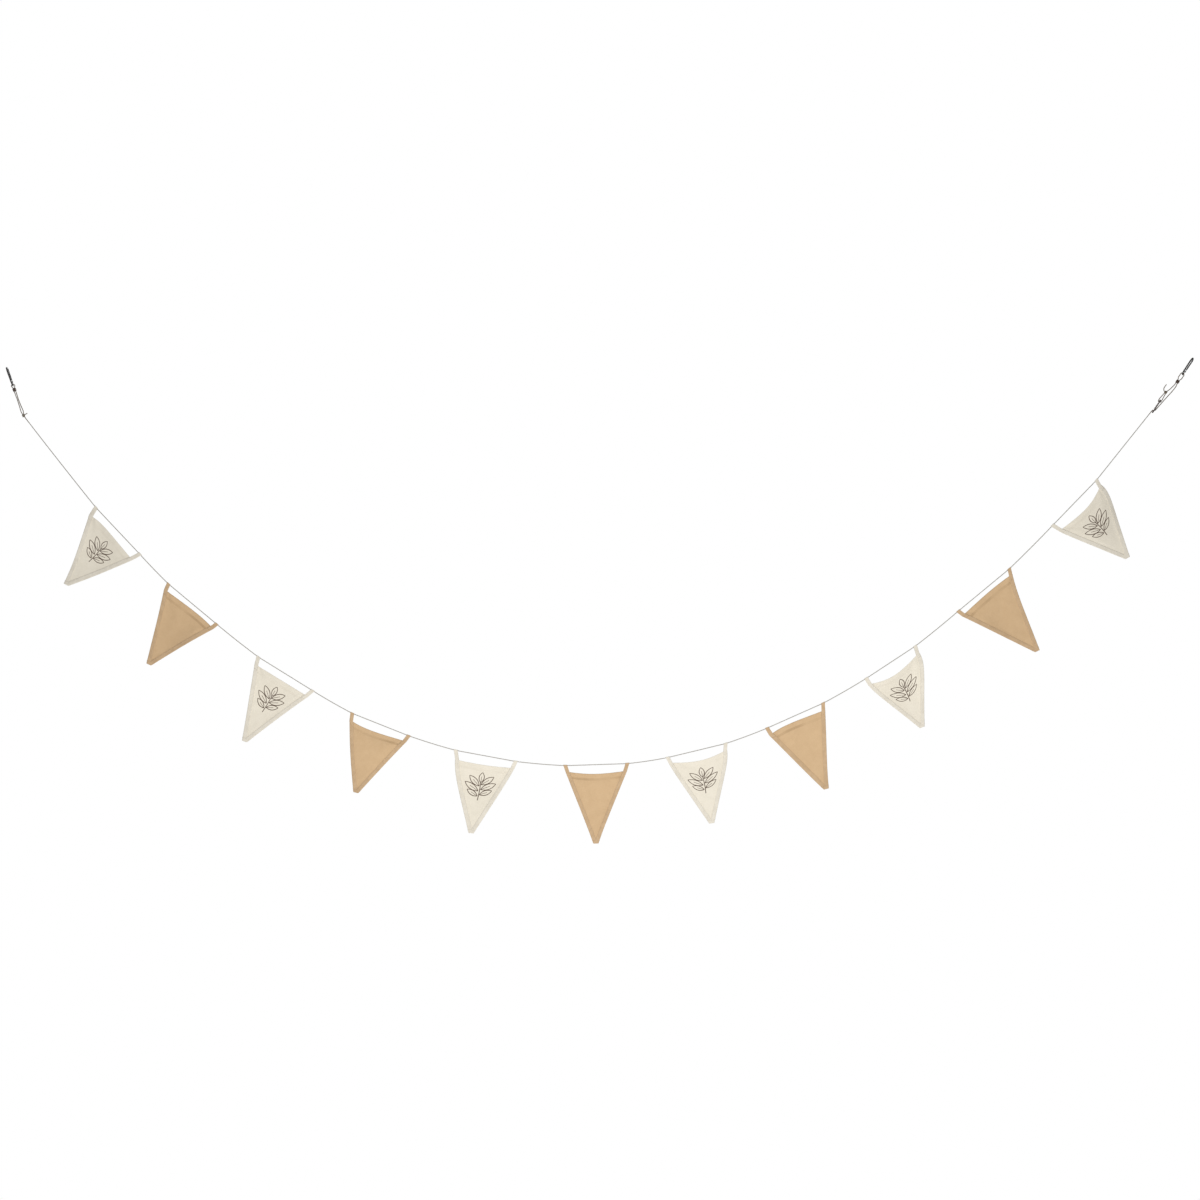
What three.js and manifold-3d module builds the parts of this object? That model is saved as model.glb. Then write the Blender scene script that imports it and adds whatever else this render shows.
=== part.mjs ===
// A string of bunting: eleven cloth pennants hung by tape loops from one long cord,
// with a snap hook at each end and a wooden slider that shortens the cord at the right.
// Millimetres, +Z up, +X along the string, -Y towards the viewer.
// The origin is where the left hook hangs: the inside of its top bend.
import * as THREE from "three";
import { mergeVertices } from "three/addons/utils/BufferGeometryUtils.js";
import Module from "manifold-3d";

const wasm = await Module();
wasm.setup();

// Cord
const CORD_RADIUS = 1.5;
const CORD_SIDES = 8;
const GAP_SAG = 1.6;
const GAP = 0.3;

// Pennants
const CLOTH = 1.0;
const CUT_HEIGHT = 222;
const TIP_WIDTH = 15;
const TIP_LEVELLING = 0.35;
const NARROW = 0.82;
const HEM_DEPTH = 20;
const HEM_EXTRA = 0.5;
const DOWN_STATIONS = [0, 0.045, 0.09, 0.105, 0.2, 0.32, 0.45, 0.58, 0.71, 0.83, 0.92, 1];
const ACROSS_STATIONS = [0, 0.09, 0.1, 0.3, 0.5, 0.7, 0.9, 0.91, 1];

// Tape that binds the two long sides and the tip, and ends in a loop at each top corner
const TAPE = 0.7;
const TAPE_WIDTH = 13;
const SIDE_LEAN = 24;
const SLOT = CLOTH / 2 + 0.6;
const EDGE_ROOM = TAPE + 0.6;
const LOOP_THICK = 1.0;
const LOOP_RADIUS = 2.75;
const LOOP_DROP = 0.1;
const LOOP_SEWN = 0.045;
const ARCH_STEPS = 6;

// Snap hooks
const HOOK_BAR = 2.4;
const HOOK_SIDES = 8;
const HOOK_STEPS = 26;
const HOOK_LENGTH = 59;
const GATE_BAR = 2.1;
const HINGE_ALONG = 46;
const HINGE_ACROSS = 13.6;
const NOSE_ALONG = 7;
const NOSE_ACROSS = 15;
const NOSE_CUT = 8;
const TANG_THICK = 1.6;
const EAR_GAP = 2.2;
const PIN_RADIUS = 0.9;

// Cord ends
const EYE_RADIUS = 6;
const LEG_APART = 2.6;
const COLLAR = { length: 11.5, halfWidth: 6, halfDepth: 4.2 };
const KNOT = { radius: 3.6, strand: 1.8, pitch: 2.9, room: 6.5 };
const SLIDER = { length: 50, width: 17, thick: 4.5, hole: 3.2, lowHole: 9, topHole: 42 };
const TURN_RADIUS = 4.3;
const TIE_RADIUS = 4.7;

// One row a pennant, from left to right. gap and gapSlope are the cord before its left loop,
// span and spanSlope the cord between its loops. The rest is in the pennant's own plane:
// width and shift of the top edge, the drop of its two corners below the cord, its sag and
// where that is deepest, the tip's place, how far each side bows out and how far down, and
// then how far out of the plane the tip leans, the sides twist, the middle bellies and the
// hem curls.
const COLUMNS = [
  "cloth", "gap", "gapSlope", "span", "spanSlope", "width", "shift", "leftDrop", "rightDrop",
  "sag", "sagAt", "tipShift", "tipDrop", "bowLeft", "bowRight", "bowAt",
  "lean", "twist", "belly", "curl",
];
const PENNANTS = [
  ["cream", 386.6, -51.8, 210.2, -46.7, 204, 0, 32, 31, -8, 0.3, 13, 244, -5, 2, 0.59, -9, 4, 6, -3],
  ["tan", 137.4, -46.1, 206, -39.8, 206, 1, 22, 19, -5, 0.64, 16, 245, -1, -2, 0.49, 7, -5, 5, 3],
  ["cream", 175.9, -38.3, 210.2, -31.8, 204, 0, 26, 25, 0, 0.6, 3, 259, -1, -2, 0.43, -6, 5, 5, -3],
  ["tan", 151.3, -29.8, 200, -21.7, 198, 0, 23, 21, 8, 0.38, 7, 238, 3, -1, 0.48, 10, 4, -6, 7],
  ["cream", 163.3, -17.2, 200.4, -10.5, 195, 2, 30, 23, 4, 0.49, -1, 257, 8, 2, 0.3, -12, -5, 6, -4],
  ["tan", 165.2, -4.8, 204.1, 1.9, 200, -1, 20, 24, 9, 0.47, -10, 259, -1, -2, 0.7, 6, 3, 7, 6],
  ["cream", 135.3, 8.5, 196.3, 13.6, 195, -1, 18, 21, 15, 0.53, -8, 243, 2, 8, 0.25, -8, 6, -6, -5],
  ["tan", 146.5, 20.4, 201.7, 24, 200, -3, 25, 23, -7, 0.34, -4, 262, 1, -2, 0.68, 9, -4, 5, 4],
  ["cream", 164.8, 29.9, 192.8, 33.3, 197, -4, 20, 25, 20, 0.44, -30, 236, 4, 12, 0.24, 12, -7, 8, -6],
  ["tan", 183.9, 39.2, 217.9, 39.6, 214, -2, 21, 19, -4, 0.56, 7, 266, 0, -4, 0.31, -7, 4, 5, 4],
  ["cream", 203.6, 45.1, 206.9, 45.9, 204, 0, 29, 21, 16, 0.58, -8, 252, 2, 14, 0.24, 10, 6, -7, -5],
].map((row) => Object.fromEntries(COLUMNS.map((name, i) => [name, row[i]])));

// Left end: places down the hook's axis from its hanging point, or there and to the side
const LEFT_HANG = new THREE.Vector3(0, 0, 0);
const LEFT_AXIS = new THREE.Vector3(0.331, 0, -0.944).normalize();
const LEFT_COLLAR = 73.5;
const LEFT_KNOT = 164;
const LEFT_LEG_UP = [[157.6, 2.4], [148, 4], [132, 2.8], [108, 1.8]];
const LEFT_LEG_DOWN = [[108, -1.8], [132, -2.6], [148, -3.4], [157.6, -2]];
const LEFT_TAIL = [[162, 7], [161, 14]];

// Right end: the slider and legs as X and Z, as are the knot and its tail
const RIGHT_HANG = new THREE.Vector3(3911.7, 0, 31);
const RIGHT_AXIS = new THREE.Vector3(-0.555, 0, -0.832).normalize();
const RIGHT_TURN = 17;
const RIGHT_COLLAR = 88.5;
const SLIDER_FOOT = [3779, -145];
const SLIDER_UP = new THREE.Vector3(0.54, 0, 0.842).normalize();
const RIGHT_LEG_UP = [[3801, -123.5], [3812, -111], [3830, -91], [3848, -71], [3857.5, -58.5]];
const RIGHT_LEG_DOWN = [[3852.4, -53.4], [3839, -66.4]];
const RIGHT_KNOT = [3823.5, -78];
const RIGHT_TAIL = [[3818, -73], [3817.5, -65], [3821, -58.5], [3826, -52]];
const LAST_SLOPE = 50;

const PALETTE = {
  cream: { color: 0xe6dcc8, roughness: 0.9, metalness: 0 },
  tan: { color: 0xcfae82, roughness: 0.9, metalness: 0 },
  cord: { color: 0xd8d3c6, roughness: 0.85, metalness: 0 },
  wood: { color: 0x553f33, roughness: 0.6, metalness: 0 },
  hook: { color: 0x4a4a4c, roughness: 0.4, metalness: 0.8 },
};
const materials = Object.fromEntries(
  Object.entries(PALETTE).map(([name, look]) => [name, new THREE.MeshStandardMaterial(look)]),
);

const part = new THREE.Group();

function addMesh(name, geometry, material) {
  const mesh = new THREE.Mesh(geometry, materials[material]);
  mesh.name = name;
  part.add(mesh);
}

const Y = new THREE.Vector3(0, 1, 0);
const SMOOTHING = 0.02;

function slopeVector(degrees) {
  const angle = THREE.MathUtils.degToRad(degrees);
  return new THREE.Vector3(Math.cos(angle), 0, Math.sin(angle));
}

function combine(origin, ...terms) {
  const point = origin.clone();
  for (const [vector, amount] of terms) point.addScaledVector(vector, amount);
  return point;
}

// Geometry helpers

// The bare shape: one vertex where several meet, and no triangle without an area.
function bare(geometry) {
  const plain = geometry.clone();
  plain.deleteAttribute("normal");
  plain.deleteAttribute("uv");
  const merged = mergeVertices(plain, 1e-3);
  const corners = Array.from(merged.index.array);
  const kept = [];
  for (let i = 0; i < corners.length; i += 3) {
    const triangle = corners.slice(i, i + 3);
    if (new Set(triangle).size === 3) kept.push(...triangle);
  }
  merged.setIndex(kept);
  return merged;
}

function warp(geometry, map) {
  const position = geometry.getAttribute("position");
  const point = new THREE.Vector3();
  for (let i = 0; i < position.count; i += 1) {
    point.fromBufferAttribute(position, i);
    const moved = map(point);
    position.setXYZ(i, moved.x, moved.y, moved.z);
  }
  return bare(geometry);
}

function toSolid(geometry) {
  const merged = bare(geometry);
  return new wasm.Manifold(
    new wasm.Mesh({
      numProp: 3,
      vertProperties: new Float32Array(merged.getAttribute("position").array),
      triVerts: new Uint32Array(merged.index.array),
    }),
  );
}

function fromSolid(solid) {
  const mesh = solid.getMesh();
  const geometry = new THREE.BufferGeometry();
  geometry.setAttribute("position", new THREE.BufferAttribute(mesh.vertProperties, 3));
  geometry.setIndex(new THREE.BufferAttribute(mesh.triVerts, 1));
  return geometry;
}

function joined(geometries) {
  return wasm.Manifold.union(geometries.map(toSolid)).asOriginal().simplify(SMOOTHING);
}

function placed(geometry, origin, xAxis, yAxis, zAxis) {
  const matrix = new THREE.Matrix4().makeBasis(xAxis, yAxis, zAxis).setPosition(origin);
  return geometry.clone().applyMatrix4(matrix);
}

// A curve that visits given points exactly, one step each, so that a sweep has a ring at each.
class Route extends THREE.Curve {
  constructor(points) {
    super();
    this.points = points;
  }
  getPointAt(share) {
    const at = share * (this.points.length - 1);
    const i = Math.min(Math.floor(at + 1e-6), this.points.length - 2);
    return this.points[i].clone().lerp(this.points[i + 1], at - i);
  }
  getPoint(share) {
    return this.getPointAt(share);
  }
  getTangentAt(share) {
    const i = Math.round(share * (this.points.length - 1));
    const before = this.points[Math.max(i - 1, 0)];
    const here = this.points[i];
    const after = this.points[Math.min(i + 1, this.points.length - 1)];
    const tangent = new THREE.Vector3();
    if (i > 0) tangent.add(here.clone().sub(before).normalize());
    if (i < this.points.length - 1) tangent.add(after.clone().sub(here).normalize());
    return tangent.normalize();
  }
}

function tube(points, radius, sides) {
  const ring = new THREE.Shape();
  for (let i = 0; i < sides; i += 1) {
    const angle = (2 * Math.PI * (i + 0.5)) / sides;
    const x = radius * Math.cos(angle);
    const y = radius * Math.sin(angle);
    if (i === 0) ring.moveTo(x, y);
    else ring.lineTo(x, y);
  }
  ring.closePath();
  return bare(
    new THREE.ExtrudeGeometry(ring, {
      steps: points.length - 1,
      extrudePath: new Route(points),
      bevelEnabled: false,
    }),
  );
}

// Points on an arc of a plane with axes a and b, from one angle to another in degrees.
function arc(centre, a, b, radius, from, to, steps) {
  return Array.from({ length: steps + 1 }, (_, i) => {
    const angle = THREE.MathUtils.degToRad(from + ((to - from) * i) / steps);
    return combine(centre, [a, radius * Math.cos(angle)], [b, radius * Math.sin(angle)]);
  });
}

// Pennant shape: u runs across from left to right, v down from the top edge to the tip

// Rises from 0 at one end to 1 at the peak's share of the way, and falls to 0 at the other.
function hump(share, peak) {
  const within = THREE.MathUtils.clamp(share, 0, 1);
  return Math.sin((Math.PI * within * (1 - peak)) / (peak + within * (1 - 2 * peak)));
}

class Pennant {
  constructor(row, left, right) {
    this.row = row;
    this.left = left;
    this.right = right;
    this.cordAtLeft = slopeVector((row.gapSlope + row.spanSlope) / 2);
    this.cordAtRight = slopeVector((row.spanSlope + row.nextSlope) / 2);
    this.along = right.clone().sub(left).normalize();
    this.down = new THREE.Vector3(this.along.z, 0, -this.along.x);
    this.middle = left.clone().lerp(right, 0.5);
  }

  // The pennant's width from side to side at height v.
  widthAt(v) {
    return THREE.MathUtils.lerp(this.row.width, TIP_WIDTH, v);
  }

  topEdge(u) {
    const { width, shift, leftDrop, rightDrop, sag, sagAt } = this.row;
    const drop = THREE.MathUtils.lerp(leftDrop, rightDrop, u) + sag * hump(u, sagAt);
    return [width * (u - 0.5) + shift, drop];
  }

  tipEdge(u) {
    const { tipShift, tipDrop, spanSlope } = this.row;
    const turn = THREE.MathUtils.degToRad(TIP_LEVELLING * spanSlope);
    const reach = TIP_WIDTH * (u - 0.5);
    return [tipShift + reach * Math.cos(turn), tipDrop + reach * Math.sin(turn)];
  }

  outOfPlane(u, v) {
    const { lean, twist, belly, curl } = this.row;
    const side = 2 * u - 1;
    const across = 1 - side * side;
    const billow = Math.sin(Math.PI * Math.min(1, v / NARROW) ** 0.8) ** 2;
    const roll = Math.exp(-((v / 0.12) ** 2));
    return lean * v ** 1.6 + twist * side * billow + (belly * billow + curl * roll) * across;
  }

  point(u, v) {
    const { bowLeft, bowRight, bowAt } = this.row;
    const [topAlong, topDrop] = this.topEdge(u);
    const [tipAlong, tipDrop] = this.tipEdge(u);
    const bow = hump(v, bowAt) * (bowRight * u * u - bowLeft * (1 - u) ** 2);
    const along = THREE.MathUtils.lerp(topAlong, tipAlong, v) + bow;
    const drop = THREE.MathUtils.lerp(topDrop, tipDrop, v);
    return combine(
      this.middle,
      [this.along, along],
      [this.down, drop],
      [Y, this.outOfPlane(u, Math.max(v, 0))],
    );
  }

  // The cloth's normal, towards the viewer.
  normal(u, v) {
    const step = 1e-3;
    const across = this.point(u + step, v).sub(this.point(u - step, v));
    const fall = this.point(u, v + step).sub(this.point(u, v - step));
    return fall.cross(across).normalize();
  }

  at(u, v, height) {
    return this.point(u, v).addScaledVector(this.normal(u, v), height);
  }
}

function panelGeometry(pennant) {
  const across = ACROSS_STATIONS.length - 1;
  const down = DOWN_STATIONS.length - 1;
  const hemEnd = HEM_DEPTH / CUT_HEIGHT + 0.005;
  const box = new THREE.BoxGeometry(across, 1, down, across, 1, down);
  return warp(box, ({ x, y, z }) => {
    const i = Math.round(x + across / 2);
    const u = ACROSS_STATIONS[i];
    const v = DOWN_STATIONS[Math.round(z + down / 2)];
    const hemmed = y < 0 && v < hemEnd && i > 1 && i < across - 1;
    return pennant.at(u, v, y * CLOTH - (hemmed ? HEM_EXTRA : 0));
  });
}

// The folded tape's section: s is the distance in from the fold, h the height off the cloth.
function tapeSection(reach) {
  const outer = SLOT + TAPE;
  const corners = [
    [0, -outer], [reach, -outer], [reach, -SLOT], [TAPE, -SLOT],
    [TAPE, SLOT], [reach, SLOT], [reach, outer], [0, outer],
  ];
  return new THREE.Shape(corners.map(([s, h]) => new THREE.Vector2(s, h)));
}

function tapeAlong(stations, reach, map) {
  const steps = stations.length - 1;
  const extruded = new THREE.ExtrudeGeometry(tapeSection(reach), {
    steps,
    depth: steps,
    bevelEnabled: false,
  });
  return warp(extruded, ({ x, y, z }) => map(x - EDGE_ROOM, y, stations[Math.round(z)]));
}

const SIDE_REACH = TAPE_WIDTH / Math.cos(THREE.MathUtils.degToRad(SIDE_LEAN));

function sideTape(pennant, side) {
  const bottom = 1 + EDGE_ROOM / CUT_HEIGHT;
  const stations = [...DOWN_STATIONS.slice(0, -1), bottom];
  if (side > 0) stations.reverse();
  return tapeAlong(stations, SIDE_REACH, (s, h, v) => {
    const share = s / pennant.widthAt(Math.min(v, 1));
    return pennant.at(side < 0 ? share : 1 - share, v, h);
  });
}

function tipTape(pennant) {
  return tapeAlong([0, 1], TAPE_WIDTH, (s, h, u) => pennant.at(u, 1 - s / CUT_HEIGHT, h));
}

// The tape's end: up behind the corner, over the cord and down in front of it.
function tapeLoop(pennant, side) {
  const hang = side < 0 ? pennant.left : pennant.right;
  const alongCord = side < 0 ? pennant.cordAtLeft : pennant.cordAtRight;
  const overCord = new THREE.Vector3(-alongCord.z, 0, alongCord.x);
  const centre = combine(hang, [overCord, -LOOP_DROP]);
  const sewnHeight = SLOT + 0.1 + LOOP_THICK / 2;
  const leg = (face, v) => {
    const ends = [-EDGE_ROOM, SIDE_REACH - EDGE_ROOM].map((s) => {
      const share = s / pennant.widthAt(v);
      return pennant.at(side < 0 ? share : 1 - share, v, face * sewnHeight);
    });
    if (side > 0) ends.reverse();
    const width = ends[1].clone().sub(ends[0]);
    const out = pennant.normal(side < 0 ? 0.03 : 0.97, v).multiplyScalar(face);
    return { centre: ends[0].clone().lerp(ends[1], 0.5), width, out };
  };
  const over = Array.from({ length: ARCH_STEPS + 1 }, (_, i) => {
    const angle = (Math.PI * i) / ARCH_STEPS;
    const out = combine(new THREE.Vector3(), [Y, Math.cos(angle)], [overCord, Math.sin(angle)]);
    const width = alongCord.clone().multiplyScalar(TAPE_WIDTH);
    return { centre: combine(centre, [out, LOOP_RADIUS]), width, out };
  });
  const stations = [leg(-1, LOOP_SEWN), leg(-1, 0), ...over, leg(1, 0), leg(1, LOOP_SEWN)];
  const steps = stations.length - 1;
  const box = new THREE.BoxGeometry(1, LOOP_THICK, steps, 1, 1, steps);
  return warp(box, ({ x, y, z }) => {
    const station = stations[Math.round(z + steps / 2)];
    return combine(station.centre, [station.width, x], [station.out, y]);
  });
}

function addPennant(pennant, number) {
  const name = `pennant_${String(number).padStart(2, "0")}`;
  const tape = joined([
    sideTape(pennant, -1),
    sideTape(pennant, 1),
    tipTape(pennant),
    tapeLoop(pennant, -1),
    tapeLoop(pennant, 1),
  ]);
  addMesh(`${name}_panel`, panelGeometry(pennant), pennant.row.cloth);
  addMesh(`${name}_tape`, fromSolid(tape), pennant.row.cloth);
}

// Snap hook: a runs down from the hanging point, b across the hook and c through it.
// sideways is square to a in the plane of the string.

function hookFrame(origin, axis, turn) {
  const angle = THREE.MathUtils.degToRad(turn);
  const sideways = new THREE.Vector3().crossVectors(axis, Y).normalize();
  const b = Y.clone().applyAxisAngle(axis, angle);
  const c = sideways.clone().applyAxisAngle(axis, angle);
  return { origin, a: axis, b, c, sideways };
}

// A point some way down a hook's axis and to its side.
function below(frame, along, aside) {
  return combine(frame.origin, [frame.a, along], [frame.sideways, aside]);
}

function addHook(frame, side) {
  const at = (a, b, c = 0) => combine(frame.origin, [frame.a, a], [frame.b, b], [frame.c, c]);
  const bend = new THREE.CatmullRomCurve3(
    [
      [HINGE_ALONG - 2, HINGE_ACROSS], [52, 12], [58, 7], [HOOK_LENGTH, 0], [58, -7],
      [50, -11.5], [36, -13], [18, -14.5], [6, -13.5], [-1.5, -7.5], [-3, 1],
      [-0.5, 9], [3.5, 13.8], [NOSE_ALONG + 1, NOSE_ACROSS],
    ].map(([a, b]) => new THREE.Vector3(a, b, 0)),
  );
  const bar = tube(
    bend.getSpacedPoints(HOOK_STEPS).map(({ x, y }) => at(x, y)),
    HOOK_BAR,
    HOOK_SIDES,
  );
  const block = (sizes, centre) =>
    toSolid(placed(new THREE.BoxGeometry(...sizes), at(...centre), frame.a, frame.b, frame.c));
  const cheek = (face) =>
    block([11, 10, 6], [HINGE_ALONG - 0.5, HINGE_ACROSS, face * (TANG_THICK / 2 + 3)]);
  const across = (radius, length) => {
    const rod = new THREE.CylinderGeometry(radius, radius, length, HOOK_SIDES);
    const hinge = at(HINGE_ALONG, HINGE_ACROSS);
    return toSolid(placed(rod, hinge, frame.a, frame.c, frame.b.clone().negate()));
  };
  const body = toSolid(bar)
    .subtract(block([NOSE_CUT, 12, 12], [NOSE_ALONG + NOSE_CUT / 2, NOSE_ACROSS, 0]))
    .subtract(cheek(-1))
    .subtract(cheek(1))
    .add(across(PIN_RADIUS, 2 * GATE_BAR));
  addMesh(`hook_${side}`, fromSolid(body), "hook");

  const gateEnd = NOSE_ALONG + 0.5;
  const gateBar = tube(
    [at(HINGE_ALONG + 2.4, HINGE_ACROSS), at(gateEnd, NOSE_ACROSS)],
    GATE_BAR,
    HOOK_SIDES,
  );
  const slot = block([13, 10, EAR_GAP], [HINGE_ALONG - 0.5, HINGE_ACROSS, 0]);
  const gate = toSolid(gateBar).subtract(slot).subtract(across(PIN_RADIUS + GAP, 12));
  addMesh(`gate_${side}`, fromSolid(gate), "hook");
}

// Cord fittings

function addCollar(frame, along, side) {
  const { length, halfWidth, halfDepth } = COLLAR;
  const half = length / 2;
  const profile = [
    [0, -half], [0.8, -half], [0.95, -half * 0.8], [1, -half * 0.3],
    [1, half * 0.3], [0.95, half * 0.8], [0.8, half], [0, half],
  ].map(([radius, rise]) => new THREE.Vector2(radius, rise));
  const barrel = new THREE.LatheGeometry(profile, 14).scale(halfWidth, 1, halfDepth);
  const room = CORD_RADIUS + GAP;
  const bore = new THREE.BoxGeometry(2 * (LEG_APART + room), 2 * length, 2 * room);
  const seat = (geometry) =>
    toSolid(placed(geometry, below(frame, along, 0), frame.sideways, frame.a, Y));
  addMesh(`collar_${side}`, fromSolid(seat(barrel).subtract(seat(bore))), "wood");
}

// Three turns of the cord about an axis.
function knotTurns(centre, axis) {
  const across = new THREE.Vector3().crossVectors(axis, Y).normalize();
  const turns = [-1, 0, 1].map((turn) => {
    const tilt = turn === 0 ? -0.3 : 0.3;
    const turnAxis = axis.clone().applyAxisAngle(Y, tilt);
    const turnSide = across.clone().applyAxisAngle(Y, tilt);
    const ring = new THREE.TorusGeometry(KNOT.radius, KNOT.strand, 7, 12);
    const seat = combine(centre, [axis, turn * KNOT.pitch]);
    return placed(ring, seat, turnSide, Y.clone().negate(), turnAxis);
  });
  const core = new THREE.CylinderGeometry(KNOT.radius, KNOT.radius, 2 * KNOT.pitch, 12);
  return [...turns, placed(core, centre, across.clone().negate(), axis, Y.clone().negate())];
}

// The cord's eye round the foot of a hook, from the collar over the hook's bar and back.
function eyePoints(frame, collarAt) {
  const at = (along, aside) => below(frame, along, aside);
  const { a, sideways } = frame;
  const turn = Math.acos((EYE_RADIUS + LEG_APART) / (2 * EYE_RADIUS));
  const degrees = THREE.MathUtils.radToDeg(turn);
  const top = HOOK_LENGTH - HOOK_BAR - GAP - CORD_RADIUS + EYE_RADIUS - 0.1;
  const foot = collarAt - COLLAR.length / 2 - 0.2;
  const low = foot - 2 * EYE_RADIUS * Math.sin(turn);
  const leg = (side) => [
    at(collarAt + COLLAR.length / 2 + 1, side * LEG_APART),
    ...arc(
      at(foot, side * (LEG_APART + EYE_RADIUS)), a, sideways,
      EYE_RADIUS, -90 * side, -(90 + degrees) * side, 2,
    ).slice(0, 2),
    ...arc(at(low, 0), a, sideways, EYE_RADIUS, (90 - degrees) * side, 90 * side, 2).slice(0, 2),
  ];
  return [...leg(1), ...arc(at(top, 0), a, sideways, EYE_RADIUS, 90, 270, 8), ...leg(-1).reverse()];
}

// The slider: a flat bar with a hole for the cord at its foot and one for the tie at its top.
function addSlider(foot, up, out) {
  const { length, width, thick, hole, lowHole, topHole } = SLIDER;
  const corner = 4;
  const half = width / 2;
  const outline = new THREE.Shape();
  outline.absarc(length - corner, half - corner, corner, 0, Math.PI / 2);
  outline.absarc(corner, half - corner, corner, Math.PI / 2, Math.PI);
  outline.absarc(corner, corner - half, corner, Math.PI, 1.5 * Math.PI);
  outline.absarc(length - corner, corner - half, corner, 1.5 * Math.PI, 2 * Math.PI);
  for (const at of [lowHole, topHole]) {
    outline.holes.push(new THREE.Path().absarc(at, 0, hole, 0, 2 * Math.PI));
  }
  const bar = new THREE.ExtrudeGeometry(outline, {
    depth: thick,
    bevelEnabled: false,
    curveSegments: 5,
  });
  bar.translate(0, 0, -thick / 2);
  addMesh("slider", bare(placed(bar, foot, up, out.clone().cross(up), out)), "wood");
}

// The string, from left to right

const leftHook = hookFrame(LEFT_HANG, LEFT_AXIS, 0);
const rightHook = hookFrame(RIGHT_HANG, RIGHT_AXIS, RIGHT_TURN);
const inString = ([x, z]) => new THREE.Vector3(x, 0, z);
const byLeftHook = ([along, aside]) => below(leftHook, along, aside);

const leftKnot = byLeftHook([LEFT_KNOT, 0]);
const rightKnot = inString(RIGHT_KNOT);
const sliderFoot = inString(SLIDER_FOOT);
const sliderOut = new THREE.Vector3().crossVectors(Y, SLIDER_UP).normalize();
const bySlider = (up, out) => combine(sliderFoot, [SLIDER_UP, up], [sliderOut, out]);

// Along the pennants: a point midway in each gap, where the cord sags, and one in each loop.
const pennants = [];
const cord = [combine(leftKnot, [slopeVector(PENNANTS[0].gapSlope), KNOT.room])];
let here = leftKnot;
PENNANTS.forEach((row, i) => {
  const left = combine(here, [slopeVector(row.gapSlope), row.gap]);
  const right = combine(left, [slopeVector(row.spanSlope), row.span]);
  const nextSlope = i + 1 < PENNANTS.length ? PENNANTS[i + 1].gapSlope : LAST_SLOPE;
  const middle = here.clone().lerp(left, 0.5);
  middle.z -= GAP_SAG;
  cord.push(middle, left, right);
  pennants.push(new Pennant({ ...row, nextSlope }, left, right));
  here = right;
});

// Through the slider's low hole, up to the hook, over its foot and down to the knot.
const turnIn = bySlider(SLIDER.lowHole - TURN_RADIUS, 0);
const turnOut = bySlider(SLIDER.lowHole + TURN_RADIUS, 0);
const knotSide = inString(RIGHT_LEG_DOWN.at(-1)).sub(rightKnot).normalize();
cord.push(
  here.clone().lerp(bySlider(0, -TURN_RADIUS), 0.5),
  ...arc(turnIn, SLIDER_UP, sliderOut, TURN_RADIUS, -90, 0, 4),
  ...arc(turnOut, SLIDER_UP, sliderOut, TURN_RADIUS, 180, 90, 4).slice(1),
  ...RIGHT_LEG_UP.map(inString),
  ...eyePoints(rightHook, RIGHT_COLLAR),
  ...RIGHT_LEG_DOWN.map(inString),
  combine(rightKnot, [knotSide, KNOT.room]),
);
const leftEye = [
  ...LEFT_LEG_UP.map(byLeftHook),
  ...eyePoints(leftHook, LEFT_COLLAR),
  ...LEFT_LEG_DOWN.map(byLeftHook),
];

// The tie that holds the right knot to the slider's top hole.
const tieTurn = bySlider(SLIDER.topHole + TIE_RADIUS - 0.5, 0);
const tie = [
  combine(rightKnot, [sliderOut, -1.5]),
  bySlider(SLIDER.length + 4, -TIE_RADIUS),
  ...arc(tieTurn, SLIDER_UP, sliderOut, TIE_RADIUS, -90, -270, 8),
  bySlider(SLIDER.length + 4, TIE_RADIUS),
  combine(rightKnot, [sliderOut, 1.5]),
];
const tails = {
  left: [leftKnot, ...LEFT_TAIL.map(byLeftHook)],
  right: [rightKnot, ...RIGHT_TAIL.map(inString)],
};
const cordTube = (points) => tube(points, CORD_RADIUS, CORD_SIDES);

addHook(leftHook, "left");
addCollar(leftHook, LEFT_COLLAR, "left");
addMesh("cord_eye", cordTube(leftEye), "cord");
addMesh(
  "knot_left",
  fromSolid(joined([...knotTurns(leftKnot, LEFT_AXIS), cordTube(tails.left)])),
  "cord",
);
addMesh("cord", cordTube(cord), "cord");
pennants.forEach((pennant, i) => addPennant(pennant, i + 1));
addSlider(sliderFoot, SLIDER_UP, sliderOut);
addMesh(
  "knot_right",
  fromSolid(joined([...knotTurns(rightKnot, SLIDER_UP), cordTube(tie), cordTube(tails.right)])),
  "cord",
);
addCollar(rightHook, RIGHT_COLLAR, "right");
addHook(rightHook, "right");

export default part;
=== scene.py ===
# %% [markdown]
# # A string of cotton bunting
# The real thing is eleven cotton pennants on one cord. A snap hook at each end clips to
# whatever holds it up, and a small wooden slider at the right takes up slack.
# The engineering model already says where every piece is. It is loaded first, as a
# fixed frame, and each piece below is made in that frame, in metres, so nothing
# has to be fitted afterwards.

# %% Load the frame
import math
import bmesh
import bpy
from mathutils import Matrix, Vector, noise


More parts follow.
